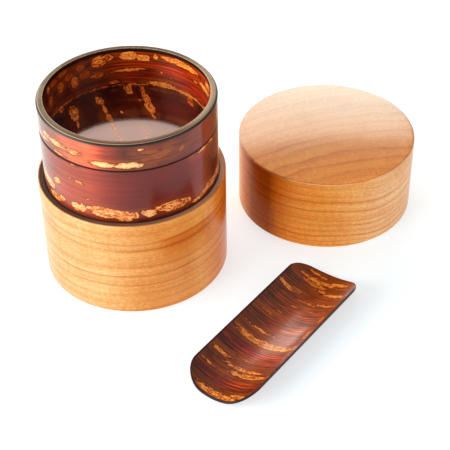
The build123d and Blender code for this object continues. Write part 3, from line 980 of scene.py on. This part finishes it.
def hoop_lacquer():
    """Olive grey lacquer, with reflections, edge highlights and inner shade painted on."""
    finish, tree, shader, where = start_finish(
        "lacquered_hoop", Coat_Weight=0.15, Coat_Roughness=0.25, Specular_IOR_Level=0.3
    )
    local = in_millimetres(tree, where)
    cloud = speckle(tree, local, (0.07, 0.07, 0.5), 3.0)
    scuff = speckle(tree, local, (0.9, 0.9, 3.0), 4.0, 0.6)
    parts = parts_of(tree, local)
    reach = reach_from_axis(tree, local)
    north, east, up = parts["Y"], parts["X"], parts["Z"]
    reflection_tint = (0.130, 0.036, 0.010, 1)
    # The top is painted brown front and back and paler at the right, as reflections
    top = stain(
        tree, (0.165, 0.112, 0.058, 1),
        (cloud, 0.35, 0.65, 1.0, (0.28, 0.192, 0.100, 1)),
        (north, 8.0, 36.0, 0.9, reflection_tint), (north, -14.0, -36.0, 0.9, reflection_tint),
        (east, 22.0, 38.0, 0.8, (0.40, 0.26, 0.155, 1)),
        (scuff, 0.46, 0.32, 0.5, (0.05, 0.034, 0.020, 1)),
    )
    # Up the bevel: darker at its foot, then a pale band painted as a highlight along the outer
    # corner, then the top's colour
    bevel = stain(
        tree, (0.050, 0.046, 0.044, 1),
        (up, HOOP_BOTTOM + 0.35, HOOP_BOTTOM + 0.55, 1.0, (0.026, 0.010, 0.006, 1)),
        (up, HOOP_TOP - 0.56, HOOP_TOP - 0.38, 1.0, (0.46, 0.32, 0.185, 1)),
        (up, HOOP_TOP - 0.28, HOOP_TOP - 0.12, 1.0, top),
    )
    colour = stain(tree, top, (reach, HOOP_SHOULDER - 0.1, HOOP_SHOULDER + 0.1, 1.0, bevel))
    # The inner face below the top's edge is painted near black, as shade inside the dish
    under_rim = step(tree, up, HOOP_TOP - 0.12, HOOP_TOP - 0.25)
    inside = times(tree, under_rim, reckon(tree, "LESS_THAN", reach, DISH_BORE_R + 0.3))
    colour = blend(tree, inside, colour, (0.022, 0.017, 0.011, 1))

    # A pale highlight is painted along the inner edge of the top
    from_edge = reckon(tree, "ABSOLUTE", less(tree, reach, DISH_BORE_R + 0.12))
    pale_edge_highlight = times(tree, step(tree, from_edge, 0.26, 0.10), step(tree, scuff, 0.30, 0.60, 0.3, 0.95))
    pale_edge_highlight = times(tree, pale_edge_highlight, less(tree, 1.0, inside))
    colour = blend(tree, pale_edge_highlight, colour, (0.62, 0.46, 0.28, 1))
    show(tree, shader, colour, step(tree, scuff, 0.3, 0.7, 0.40, 0.6), scuff, 0.2, 0.04)
    return finish


hoop = turn_piece(
    "dish_hoop", hoop_lacquer(),
    [
        (DISH_BORE_R, HOOP_BOTTOM), (NECK_R - 0.04, HOOP_BOTTOM), (NECK_R, HOOP_BOTTOM + 0.03),
        (NECK_R - 0.03, HOOP_BOTTOM + 0.09), (HOOP_SHOULDER + 0.10, HOOP_TOP - 0.08),
        (HOOP_SHOULDER + 0.02, HOOP_TOP - 0.01), (HOOP_SHOULDER - 0.08, HOOP_TOP),
        (DISH_BORE_R + 0.22, HOOP_TOP), (DISH_BORE_R + 0.12, HOOP_TOP - 0.03),
        (DISH_BORE_R + 0.04, HOOP_TOP - 0.10), (DISH_BORE_R, HOOP_TOP - 0.22),
    ],
    segments=288, sharp=30,
)
hand_over(hoop, "inner_lid", "inner_lid_hoop")


# Inner lid: floor
# A wooden disc between two discs of bark. On the upper one the bark's marks run from the back
# towards the front, leaning to the right, as it was laid.
DISH_FLOOR = 74.4
DISH_HEADING = -71
DISH_UNDERSIDE_HEADING = 20
dress("inner_lid_floor_core", ply_finish("wound_wood_dish_floor", 0.0, TUBE_BORE_R, 3))
floor_marks = (
    (-27, 14, 14, 4.6, -77, 0.45), (-24.3, 5, 9, 1.4, -79, 0.50),
    (-15.6, 24.6, 9, 3.6, -66, 0.45), (-12.6, 17, 10, 2.2, -68, 0.50),
    (-9.8, 10, 8, 3.2, -72, 0.60),
    (-7.3, 2.5, 10, 1.8, -74, 0.75), (-5, -5.2, 7, 1.3, -74, 0.75), (-4, -8.3, 2.6, 1.6, -40, 0.45),
    (5.0, 33, 10, 2.2, -76, 0.55), (7, 26, 10, 3.4, -72, 0.55), (9, 18.4, 12, 4.0, -72, 0.55),
    (10.8, 11.8, 6, 1.6, -72, 0.60), (3.8, 25, 3, 1.4, -60, 0.40),
    (-2.5, 35.5, 10, 4.2, -75, 0.55), (28, 24, 6, 2.6, -70, 0.40), (29, 20.4, 3, 1.6, -70, 0.45),
    (-4.5, 14.6, 2.4, 1.6, -60, 0.80), (7.3, -1, 3.6, 0.5, -78, 0.70),
    (8.5, -5.6, 3.6, 0.7, -78, 0.75),
    (-33.5, 17, 5, 3, -75, 0.35), (15, -22, 16, 2.4, -70, 0.5), (-16, -20, 12, 2.0, -74, 0.5),
    (2, -27, 10, 1.8, -70, 0.6), (24, -8, 8, 1.2, -72, 0.4),
)
dish_floor_finish = bark_finish(
    "cherry_bark_dish_floor", level_sheet(DISH_HEADING), gloss=0.085,
    Dark_Bark=(0.011, 0.0008, 0.0003, 1), Red_Bark=(0.038, 0.002, 0.0004, 1),
    Bright_Bark=(0.10, 0.012, 0.002, 1), Cork_Tint=(1.1, 0.85, 0.6, 1),
    Streak=0.4, Halo=0.3, Satin=0.20,
)
dish_floor = turn_piece(
    "dish_floor_bark", dish_floor_finish,
    disc_outline(TUBE_BORE_R, DISH_FLOOR, DISH_FLOOR - BARK, 64), segments=300,
)


def turned_marks(marks, heading):
    """Marks given by their plan place and their own heading, turned onto a disc's sheet."""
    lay = flat_sheet(heading)
    return [
        (*lay(Vector((x, y, 0))), length, breadth, lean - heading, pale)
        for x, y, length, breadth, lean, pale in marks
    ]


press_marks(dish_floor, turned_marks(floor_marks, DISH_HEADING), flat_sheet(DISH_HEADING))
hand_over(dish_floor, "inner_lid", "inner_lid_floor_bark")

dish_underside = turn_piece(
    "dish_underside_bark",
    bark_finish("cherry_bark_dish_underside", level_sheet(DISH_UNDERSIDE_HEADING)),
    disc_outline(TUBE_BORE_R, PLUG_BOTTOM, PLUG_BOTTOM + BARK, 44),
)
press_marks(
    dish_underside, scatter_marks(41, 15, -36, 36, -36, 36, (5, 20), (1.5, 4)),
    flat_sheet(DISH_UNDERSIDE_HEADING),
)
hand_over(dish_underside, "inner_lid", "inner_lid_underside")


# Inner lid: bark lining
# The dish's wall is lined with a redder, clearer sheet, which stands on the floor's bark.
# Large gold marks lie along its top at the back, and a gold line where it meets the floor.
lining_marks = (
    (140, 91.2, 25, 3.4, 3, 0.70), (106.5, 90.6, 9, 2.8, 0, 0.80), (112, 86.7, 13, 3.4, 0, 0.80),
    (127, 85.5, 4, 1.0, 0, 0.45), (162, 91.5, 3, 3.6, 0, 0.45), (171, 90, 7, 4.0, 0, 0.72),
    (182, 91, 8.5, 5.0, 0, 0.72), (198, 91, 7, 3.8, 0, 0.50), (204, 90, 8, 6.2, 0, 0.48),
    (183, 83.2, 16, 1.8, -3, 0.50), (158, 83, 1.5, 1.3, 0, 1.0), (150, 80.9, 2.4, 0.8, -20, 0.85),
    (206, 82.5, 8, 3, 0, 0.26), (225, 83.5, 4.5, 6.6, 0, 0.30), (219, 90, 5, 3.6, 0, 0.22),
    (230, 88, 6, 4, 0, 0.20), (239, 85.5, 5, 5.6, 0, 0.24), (236, 92, 7, 2.8, 0, 0.22),
    (247, 91, 6, 3.6, 0, 0.22), (254, 84, 5, 5.6, 0, 0.24), (216, 85, 6, 4.6, 0, 0.18),
    (256, 91, 3, 4.6, 0, 0.45), (112, 75.0, 20, 1.8, 0, 0.80), (138, 75.4, 22, 2.2, 0, 0.72),
    (157, 76.0, 16, 3.0, 0, 0.72), (193, 76.8, 5, 2.0, 0, 0.62), (176, 74.7, 18, 1.3, 0, 0.5),
    (206, 74.7, 20, 1.2, 0, 0.38), (240, 74.7, 30, 1.2, 0, 0.34),
)
lining_finish = bark_finish(
    "cherry_bark_lining", wound_sheet(DISH_BORE_R, turn=180),
    # The cork tint is raised, as painted light in the dim dish, and the tones paint the lining lit
    # at the right and in shade at the left, with the bark's own tone
    gloss=0.14, seam=HOOP_BOTTOM - 0.1, Streak=0.8, Halo=0.7, Cork_Tint=(1.35, 0.96, 0.50, 1),
    Dark_Bark=(0.19, 0.010, 0.0010, 1), Red_Bark=(0.58, 0.036, 0.003, 1),
    Bright_Bark=(0.80, 0.16, 0.010, 1),
    painted_light_and_tones=(
        (-64, 1.4, 0.9, 1.0), (-36, 1.5, 1.1, 1.3), (-24, 1.15, 1.0, 1.8), (-12, 1.1, 1.1, 1.5),
        (-3, 1.3, 0.9, 1.0), (7, 0.85, 0.8, 0.8), (20, 0.28, 0.45, 0.5), (60, 0.32, 0.40, 0.4),
    ),
)
lining = wind_wall(
    "dish_bark_inside", lining_finish, DISH_BORE_R, TUBE_BORE_R, DISH_FLOOR, HOOP_BOTTOM,
    segments=400, rows=(1, 40),
)
front_of_lining = scatter_marks(43, 12, -90, 80, 76, 92, (4, 16), (1, 3.6), pale=(0.3, 0.8))
mark_wall(lining, DISH_BORE_R, [*lining_marks, *turned_back(lining_marks), *front_of_lining])
hand_over(lining, "inner_lid", "inner_lid_lining")


# Lid wall
# Made as the sleeve is: wound plies faced with cherry veneer, its foot edge rounded. Its bark
# lining is a loose sliding fit on the neck.
LID_CENTRE = (96.92, 45.81)
LID_BORE_R = 41.95
LID_LINING_R = 42.25
LID_WALL_TOP = 38.78
CEILING = 37.8
lid_finish = cherry_finish(
    "cherry_veneer_lid",
    sheet_of=wound_sheet(FACE_R, LID_CENTRE, turn=20),
    wave=lambda tree, parts: step(tree, parts["X"], -16.0, 16.0, 0.0, 3.0),
    low=-6.0, high=46.0,
    lines=(
        (2.0, 0.55, 1.0, 0.4), (4.2, 0.60, 1.0, 0.4), (7.2, 1.00, 1.0, 0.3),
        (10.6, 0.45, 1.3, 0.5), (13.8, 0.50, 1.3, 0.5), (17.0, 0.50, 1.3, 0.5),
        (23.0, 0.95, 1.4, 0.35), (28.6, 0.80, 1.4, 0.4), (32.0, 0.50, 1.3, 0.5),
        (36.6, 0.55, 1.0, 0.5),
    ),
    # The tones paint light and shade round the wall: a dark band where it faces the canister, as
    # painted shade and reflection, and paler and whiter towards the right; with the wood's own tone
    painted_light_and_tones=(
        (-118, 1.0, 0.92, 1.0), (-86, 1.15, 1.25, 0.50), (-72, 0.95, 0.82, 0.3),
        (-62, 0.50, 0.30, 0.04), (-50, 0.50, 0.30, 0.04), (-44, 0.90, 0.66, 0.25),
        (-36, 1.06, 0.90, 0.55), (-26, 1.09, 1.0, 0.85), (-16, 1.07, 1.02, 1.0),
        (-3, 1.12, 1.22, 1.65), (10, 1.17, 1.42, 2.7), (26, 1.17, 1.42, 2.7),
        (40, 1.08, 1.2, 2.0), (86, 1.0, 0.92, 1.0),
    ),
    lacquer=0.0, shine=0.15,
)
lid_face = wind_wall(
    "lid_cherry_face", lid_finish, PLIES_R, FACE_R, 0.0, LID_WALL_TOP, LID_CENTRE,
    edges=(CRISP, CRISP, 0.5, CRISP), segments=288, rows=(6, 1),
)
hand_over(lid_face, "lid", "lid_veneer")
lid_plies = wind_wall(
    "lid_wound_plies", ply_finish("wound_wood_lid", LID_LINING_R, PLIES_R, 3, LID_CENTRE),
    LID_LINING_R, PLIES_R, 0.0, LID_WALL_TOP, LID_CENTRE, edges=(CRISP, CRISP, 0.08, 0.08), plies=3,
)
hand_over(lid_plies, "lid", "lid_core")
lid_inside = wind_wall(
    "lid_bark_inside",
    bark_finish("cherry_bark_lid_inside", wound_sheet(LID_BORE_R, LID_CENTRE, turn=160)),
    LID_BORE_R, LID_LINING_R, 0.0, CEILING - BARK, LID_CENTRE,
    edges=(CRISP, CRISP, CRISP, 0.2), segments=320, rows=(1, 50),
)
mark_wall(
    lid_inside, LID_BORE_R, scatter_marks(51, 24, -180, 180, 3, 35, (4, 20), (1.2, 4.5)),
    LID_CENTRE,
)
hand_over(lid_inside, "lid", "lid_lining")


# Lid top
# A wooden disc is turned to a low dome and covered with one veneer, lapped over the wall's,
# its edge just rounded. The grain runs across it, rising to the right. Bark covers the ceiling.
LID_EDGE = 39.4          # height of the top where the dome meets the wall
CROWN = 2.25             # rise of the dome above it
CROWN_BALL = (FACE_R ** 2 + CROWN ** 2) / (2 * CROWN)
CROWN_CENTRE = LID_EDGE + CROWN - CROWN_BALL
TOP_VENEER = 0.6
TOP_LAP = 0.58           # how far the veneer reaches down over the wall's
TOP_EDGE_ROUND = 0.5
TOP_EDGE_RISE = 0.04     # the dome's rise across its rounded edge
CEILING_HEADING = 60


def dome(radius, lift=0.0):
    """Height of the domed top at a radius."""
    return CROWN_CENTRE + sqrt((CROWN_BALL + lift) ** 2 - radius ** 2)


top_finish = cherry_finish(
    "cherry_veneer_top",
    sheet_of=level_sheet(0, LID_CENTRE),
    wave=lambda tree, parts: plus(
        tree, times(tree, parts["X"], -0.30),
        times(tree, reckon(tree, "POWER", parts["X"], 2.0), 0.0022),
    ),
    low=-60.0, high=60.0,
    lines=(
        (-38, 0.50, 2.4, 0.6), (-29.2, 0.70, 2.6, 0.6), (-21.7, 0.95, 2.8, 0.6),
        (-13.5, 0.40, 2.2, 0.7), (-7.4, 0.70, 2.4, 0.6), (0.5, 0.35, 2.2, 0.7),
        (8.0, 0.45, 2.2, 0.7), (16.0, 0.35, 2.4, 0.8), (26, 0.35, 2.4, 0.8),
    ),
    # The tones paint a paler, whiter sheen towards the back and leave the front more orange, with
    # the wood's own tone
    drift="Y",
    painted_light_and_tones=(
        (-45, 1.15, 1.06, 0.85), (-22, 1.10, 1.08, 1.02), (0, 0.88, 0.96, 1.12),
        (22, 0.64, 0.86, 1.6), (45, 0.58, 0.85, 1.9),
    ),
    lacquer=0.94, shine=0.35,
    # A pale highlight is painted along the rounded edge, with painted shade just inside it
    edge_highlight=(LID_CENTRE, FACE_R - 0.32, FACE_R - 0.02),
    Light_Wood=(0.84, 0.355, 0.076, 1), Dark_Wood=(0.75, 0.24, 0.038, 1),
)
top_rings = [number * 1.2 for number in range(37)] + [44.0]
top_outline = [(radius, dome(radius)) for radius in top_rings]
for number in range(7):
    angle = pi / 2 * number / 6
    radius = FACE_R - TOP_EDGE_ROUND * (1 - sin(angle))
    drop = TOP_EDGE_ROUND * (1 - cos(angle)) - TOP_EDGE_RISE * cos(angle)
    top_outline.append((radius, dome(FACE_R) - drop))
top_outline += [(FACE_R, LID_EDGE - TOP_LAP), (PLIES_R, dome(PLIES_R, -TOP_VENEER))]
top_outline += [(radius, dome(radius, -TOP_VENEER)) for radius in (40, 30, 20, 10, 0)]
lid_top = turn_piece("lid_cherry_top", top_finish, top_outline, LID_CENTRE, segments=288, sharp=50)
hand_over(lid_top, "lid", "lid_top_veneer")
dress("lid_top_core", ply_finish("wound_wood_lid_top", 0.0, LID_LINING_R, 3, LID_CENTRE))

ceiling = turn_piece(
    "lid_ceiling_sheet",
    bark_finish("cherry_bark_ceiling", level_sheet(CEILING_HEADING, LID_CENTRE)),
    disc_outline(LID_LINING_R, CEILING - BARK, CEILING, 46), LID_CENTRE,
)
press_marks(
    ceiling, scatter_marks(53, 16, -38, 38, -38, 38, (5, 20), (1.5, 4)),
    flat_sheet(CEILING_HEADING, LID_CENTRE),
)
hand_over(ceiling, "lid", "lid_ceiling_bark")


# Scoop
# Thin wood is bent to a trough between two sheets of bark, cut to its plan and rounded at
# the edge. The bark's marks cross it from side to side. Its cut edge is lacquered slate grey.
SCOOP_LENGTH = 99.3
SCOOP_HALF = 18.25
TROUGH_R = 28.2
BENT_WOOD_R = 28.5       # its inside
BENT_WOOD_BACK_R = 29.15
SCOOP_BACK_R = 29.45
EDGE_ROUND = 0.15
EDGE_EASE = 0.044        # how far the rounding stands back half way round
SCOOP_HEADING = 53.3
SCOOP_ROLL = 3.9
SCOOP_SIDE = 89.25
SCOOP_REACH = 39.8
ENDS = {"tip": (3.7, 10.4), "mouth": (1.8, 12.4)}    # bulge of the end, and its corners' radius
along_scoop = Vector((cos(radians(SCOOP_HEADING)), sin(radians(SCOOP_HEADING)), 0))
across_scoop = Vector((-along_scoop.y, along_scoop.x, 0))
scoop_axis = along_scoop * SCOOP_REACH - across_scoop * SCOOP_SIDE + Vector((0, 0, SCOOP_BACK_R))
roll = radians(SCOOP_ROLL)
scoop_up = Vector((0, 0, cos(roll))) + across_scoop * sin(roll)
scoop_left = across_scoop * cos(roll) - Vector((0, 0, sin(roll)))


def end_setback(which, across, inset):
    """How far an end's outline lies back from its furthest point, at a place across."""
    bulge, corner = ENDS[which]
    sweep = (SCOOP_HALF ** 2 + bulge ** 2) / (2 * bulge)
    middle = SCOOP_HALF - corner
    corner_back = sweep - sqrt((sweep - corner) ** 2 - middle ** 2)
    across = min(abs(across), SCOOP_HALF - inset)
    if across < middle * (sweep - inset) / (sweep - corner):
        return sweep - sqrt((sweep - inset) ** 2 - across ** 2)
    return corner_back - sqrt(max((corner - inset) ** 2 - (across - middle) ** 2, 0.0))


def bend_sheet(name, finish, layers, columns=72, rows=132):
    """Bends a closed sheet of the scoop: layers are (inset from the outline, tube radius)."""
    def spot(column, row, inset, radius):
        """A point of a layer's grid."""
        across = (SCOOP_HALF - inset) * sin(pi / 2 * (2 * column / columns - 1))
        near = -SCOOP_LENGTH + end_setback("mouth", across, inset)
        far = -end_setback("tip", across, inset)
        run = near + (far - near) * row / rows
        depth = sqrt(radius ** 2 - across ** 2)
        return scoop_axis + along_scoop * run + scoop_left * across - scoop_up * depth

    border = (
        [(0, row) for row in range(rows)] + [(column, rows) for column in range(columns)]
        + [(columns, row) for row in range(rows, 0, -1)]
        + [(column, 0) for column in range(columns, 0, -1)]
    )
    points, faces, loops = [], [], []
    for number, (inset, radius) in enumerate(layers):
        if number in (0, len(layers) - 1):
            start = len(points)
            points += [
                spot(column, row, inset, radius)
                for column in range(columns + 1) for row in range(rows + 1)
            ]

            def at(column, row, start=start):
                return start + column * (rows + 1) + row

            faces += [
                (at(column, row), at(column + 1, row), at(column + 1, row + 1), at(column, row + 1))
                for column in range(columns) for row in range(rows)
            ]
            loops.append([at(column, row) for column, row in border])
        else:
            loops.append(range(len(points), len(points) + len(border)))
            points += [spot(column, row, inset, radius) for column, row in border]
    for upper, lower in zip(loops, loops[1:]):
        for number in range(len(border)):
            beside = (number + 1) % len(border)
            faces.append((upper[number], upper[beside], lower[beside], lower[number]))
    return close_piece(name, finish, [point * MM for point in points], faces)


def on_scoop(point):
    """Where a point of the scoop lies on its flat sheet: across it, then along it."""
    offset = point - scoop_axis
    turn = atan2(offset.dot(scoop_left), -offset.dot(scoop_up))
    return turn * SCOOP_BACK_R, offset.dot(along_scoop) + SCOOP_LENGTH / 2


def scoop_sheet(tree, where):
    """The same in the shader, unrolled about the trough's axis."""
    middle = scoop_axis - along_scoop * (SCOOP_LENGTH / 2)
    local = in_millimetres(tree, where, (middle.x, middle.y), turn=SCOOP_HEADING + 90)
    parts = parts_of(tree, local)
    turn = reckon(tree, "ARCTAN2", parts["X"], less(tree, SCOOP_BACK_R, parts["Z"]))
    return join_parts(tree, times(tree, turn, SCOOP_BACK_R), parts["Y"])


scoop_marks = (
    (-1, -47.3, 27, 3.8, 3, 0.62), (-12, -45, 10, 2.8, 0, 0.50), (15, -34.5, 11, 1.3, 0, 0.42),
    (14, -25.7, 15, 2.0, -3, 0.62), (-8, -31.4, 26, 3.0, -3, 0.42), (-3, -28.3, 24, 2.2, -3, 0.42),
    (0, -22.5, 9, 1.0, 0, 0.28), (-2, -9.2, 36, 4.2, -1, 0.66), (14, -8, 10, 1.3, 0, 0.3),
    (7, -2.6, 16, 1.5, -1, 0.62), (11, 9, 8, 1.2, 0, 0.28), (7, 13, 5, 0.9, 0, 0.28),
    (4, 20.5, 9, 1.1, 0, 0.33), (0, 25.5, 16, 1.3, 0, 0.34), (-12, 26.5, 15, 1.8, 0, 0.6),
    (15, 29, 11, 2.4, 8, 0.52), (9, 30, 7, 3.2, 0, 0.2), (-11, 35, 15, 2.6, 0, 0.62),
    (-2, 36.5, 6, 1.8, 0, 0.4), (3, 42, 22, 2.6, -2, 0.6), (-8, 44, 12, 2.6, 0, 0.55),
    (4, 39, 14, 2.6, 0, 0.33), (6, 46, 12, 1.8, 0, 0.4), (-17, -8, 4, 4, 0, 0.3),
    (-17.3, 3, 3, 8, 0, 0.3), (-17, 15, 3, 6, 0, 0.3),
)
trough_finish = bark_finish(
    "cherry_bark_scoop", scoop_sheet, cut_edge=True,
    gloss=0.24, Satin=0.38, Dark_Bark=(0.060, 0.012, 0.006, 1), Red_Bark=(0.19, 0.028, 0.011, 1),
    Bright_Bark=(0.60, 0.165, 0.022, 1), Streak=0.85, Halo=0.62, Fineness=1.7,
    Cork_Tint=(1.0, 0.80, 0.50, 1), drift="Y",
    # The tones along and across paint light and shade with the bark's own tone: paler through the
    # middle, where the highlight falls, and darker along the left side
    across=(
        (-19, 1.15, 1.05, 0.75), (-12, 1.25, 1.15, 0.95), (0, 1.15, 1.12, 1.05),
        (9, 0.58, 0.72, 0.92), (19, 0.46, 0.66, 0.95),
    ),
    painted_light_and_tones=(
        (-50, 1.0, 0.80, 0.35), (-36, 1.15, 1.05, 0.55), (-30, 0.90, 0.78, 0.70),
        (-17, 1.7, 1.55, 1.3), (-5, 1.65, 1.5, 1.25), (10, 0.78, 0.68, 0.62),
        (17, 2.1, 0.85, 0.95), (24, 1.05, 0.90, 0.85), (32, 1.0, 1.0, 0.85),
        (39, 1.35, 0.65, 0.7), (45, 0.5, 0.45, 0.4),
    ),
)
trough = bend_sheet(
    "scoop_trough_bark", trough_finish,
    (
        (EDGE_ROUND, TROUGH_R), (EDGE_EASE, TROUGH_R + EDGE_EASE), (0, TROUGH_R + EDGE_ROUND),
        (0, BENT_WOOD_R),
    ),
)


def store_insets(sheet):
    """Stores how far in from the scoop's cut edge each point lies, in millimetres."""
    insets = []
    for vertex in sheet.data.vertices:
        offset = vertex.co / MM - scoop_axis
        side, run = offset.dot(scoop_left), offset.dot(along_scoop)
        insets.append(min(
            SCOOP_HALF - abs(side), -run - end_setback("tip", side, 0),
            SCOOP_LENGTH + run - end_setback("mouth", side, 0),
        ))
    sheet.data.attributes.new("inset", "FLOAT", "POINT").data.foreach_set("value", insets)


press_marks(trough, scoop_marks, on_scoop)
store_insets(trough)
hand_over(trough, "scoop", "scoop_face_bark")

under = bend_sheet(
    "scoop_under_bark", bark_finish("cherry_bark_scoop_back", scoop_sheet, cut_edge=True),
    (
        (0, BENT_WOOD_BACK_R), (0, SCOOP_BACK_R - EDGE_ROUND),
        (EDGE_EASE, SCOOP_BACK_R - EDGE_EASE), (EDGE_ROUND, SCOOP_BACK_R),
    ),
)
press_marks(under, scatter_marks(61, 22, -17, 17, -48, 48, (6, 26), (1, 3.6), (-4, 4)), on_scoop)
store_insets(under)
hand_over(under, "scoop", "scoop_back_bark")


def edge_lacquer():
    """Slate grey lacquer brushed along the cut edge."""
    finish, tree, shader, where = start_finish(
        "lacquered_edge", Coat_Weight=0.0, Specular_IOR_Level=0.15
    )
    local = in_millimetres(tree, where)
    fibre = speckle(tree, local, (0.9, 0.9, 7.0), 4.0, 0.6)
    colour = blend(tree, fibre, (0.012, 0.013, 0.020, 1), (0.036, 0.038, 0.050, 1))
    tree.links.new(colour, shader.inputs["Base Color"])
    tree.links.new(step(tree, fibre, 0.3, 0.7, 0.3, 0.5), shader.inputs["Roughness"])
    return finish


bent_wood = bend_sheet(
    "scoop_bent_wood", edge_lacquer(),
    (
        (CRISP, BENT_WOOD_R), (0, BENT_WOOD_R + CRISP), (0, BENT_WOOD_BACK_R - CRISP),
        (CRISP, BENT_WOOD_BACK_R),
    ),
)
hand_over(bent_wood, "scoop", "scoop_core")


# Table
# A white studio table, level under the object, with a faint tooth in its paper. It glows
# faintly, which lightens the shadows on it.
def paper_finish():
    """White paper with a faint tooth and glow."""
    finish, tree, shader, where = start_finish(
        "studio_paper", Roughness=0.9, Specular_IOR_Level=0.1,
        Emission_Color=(0.972, 0.987, 0.997, 1), Emission_Strength=0.50,
    )
    tooth = speckle(tree, in_millimetres(tree, where), (0.4, 0.4, 0.4), 3.0)
    paper = blend(tree, tooth, (0.53, 0.60, 0.63, 1), (0.55, 0.62, 0.65, 1))
    tree.links.new(paper, shader.inputs["Base Color"])
    return finish


table_mesh = bpy.data.meshes.new("studio_table")
table_mesh.from_pydata([(-4, -4, 0), (4, -4, 0), (4, 4, 0), (-4, 4, 0)], [], [(0, 1, 2, 3)])
table_mesh.materials.append(paper_finish())
table = bpy.data.objects.new("studio_table", table_mesh)
scene.collection.objects.link(table)


# Light
# Two large soft boxes, one behind and one at the left, and a weak one at the right. A white
# room fills every shadow.
def soft_box(name, spot, aim, width, height, power, colour=(1, 1, 1)):
    """A flat lamp at a spot, turned towards what it lights."""
    lamp = bpy.data.lights.new(name, "AREA")
    lamp.shape, lamp.size, lamp.size_y = "RECTANGLE", width, height
    lamp.energy, lamp.color = power, colour
    box = bpy.data.objects.new(name, lamp)
    box.location = spot
    box.rotation_euler = (Vector(aim) - Vector(spot)).to_track_quat("-Z", "Y").to_euler()
    scene.collection.objects.link(box)
    return box


soft_box("back_box", (-0.33, 1.245, 0.52), (-0.035, 0.0, 0.05), 1.76, 0.9, 15.2, (1.0, 0.93, 0.82))
soft_box("left_box", (-1.10, -0.44, 0.44), (0.03, 0.0, 0.05), 1.3, 0.68, 17.0)
soft_box("right_box", (1.15, -0.60, 0.50), (0.05, 0.0, 0.05), 0.9, 0.9, 2.2)
room = bpy.data.worlds.new("white_room")
room.use_nodes = True
room.node_tree.nodes["Background"].inputs["Color"].default_value = (1, 1, 1, 1)
room.node_tree.nodes["Background"].inputs["Strength"].default_value = 0.38
scene.world = room
scene.view_settings.view_transform = "Standard"
scene.view_settings.look = "Medium High Contrast"


# Camera
# It looks down on the table from in front, with the photograph's lens and slight roll. Its
# place and angles, in metres and radians, were fitted to the rims and feet of the object.
eye = Vector((0.04422, -0.48268, 0.41023))
tilt = 0.68476
camera_roll = -0.01255
ahead = Vector((0, cos(tilt), -sin(tilt)))
level = Vector((1, 0, 0))
above = level.cross(ahead)
right = level * cos(camera_roll) + above * sin(camera_roll)
top = above * cos(camera_roll) - level * sin(camera_roll)
lens = bpy.data.cameras.new("photo_lens")
lens.sensor_width, lens.lens = 36.0, 100.247
lens.clip_start, lens.clip_end = 0.01, 20.0
camera = bpy.data.objects.new("photo_camera", lens)
camera.matrix_world = Matrix((
    (right.x, top.x, -ahead.x, eye.x), (right.y, top.y, -ahead.y, eye.y),
    (right.z, top.z, -ahead.z, eye.z), (0, 0, 0, 1),
))
scene.collection.objects.link(camera)
scene.camera = camera
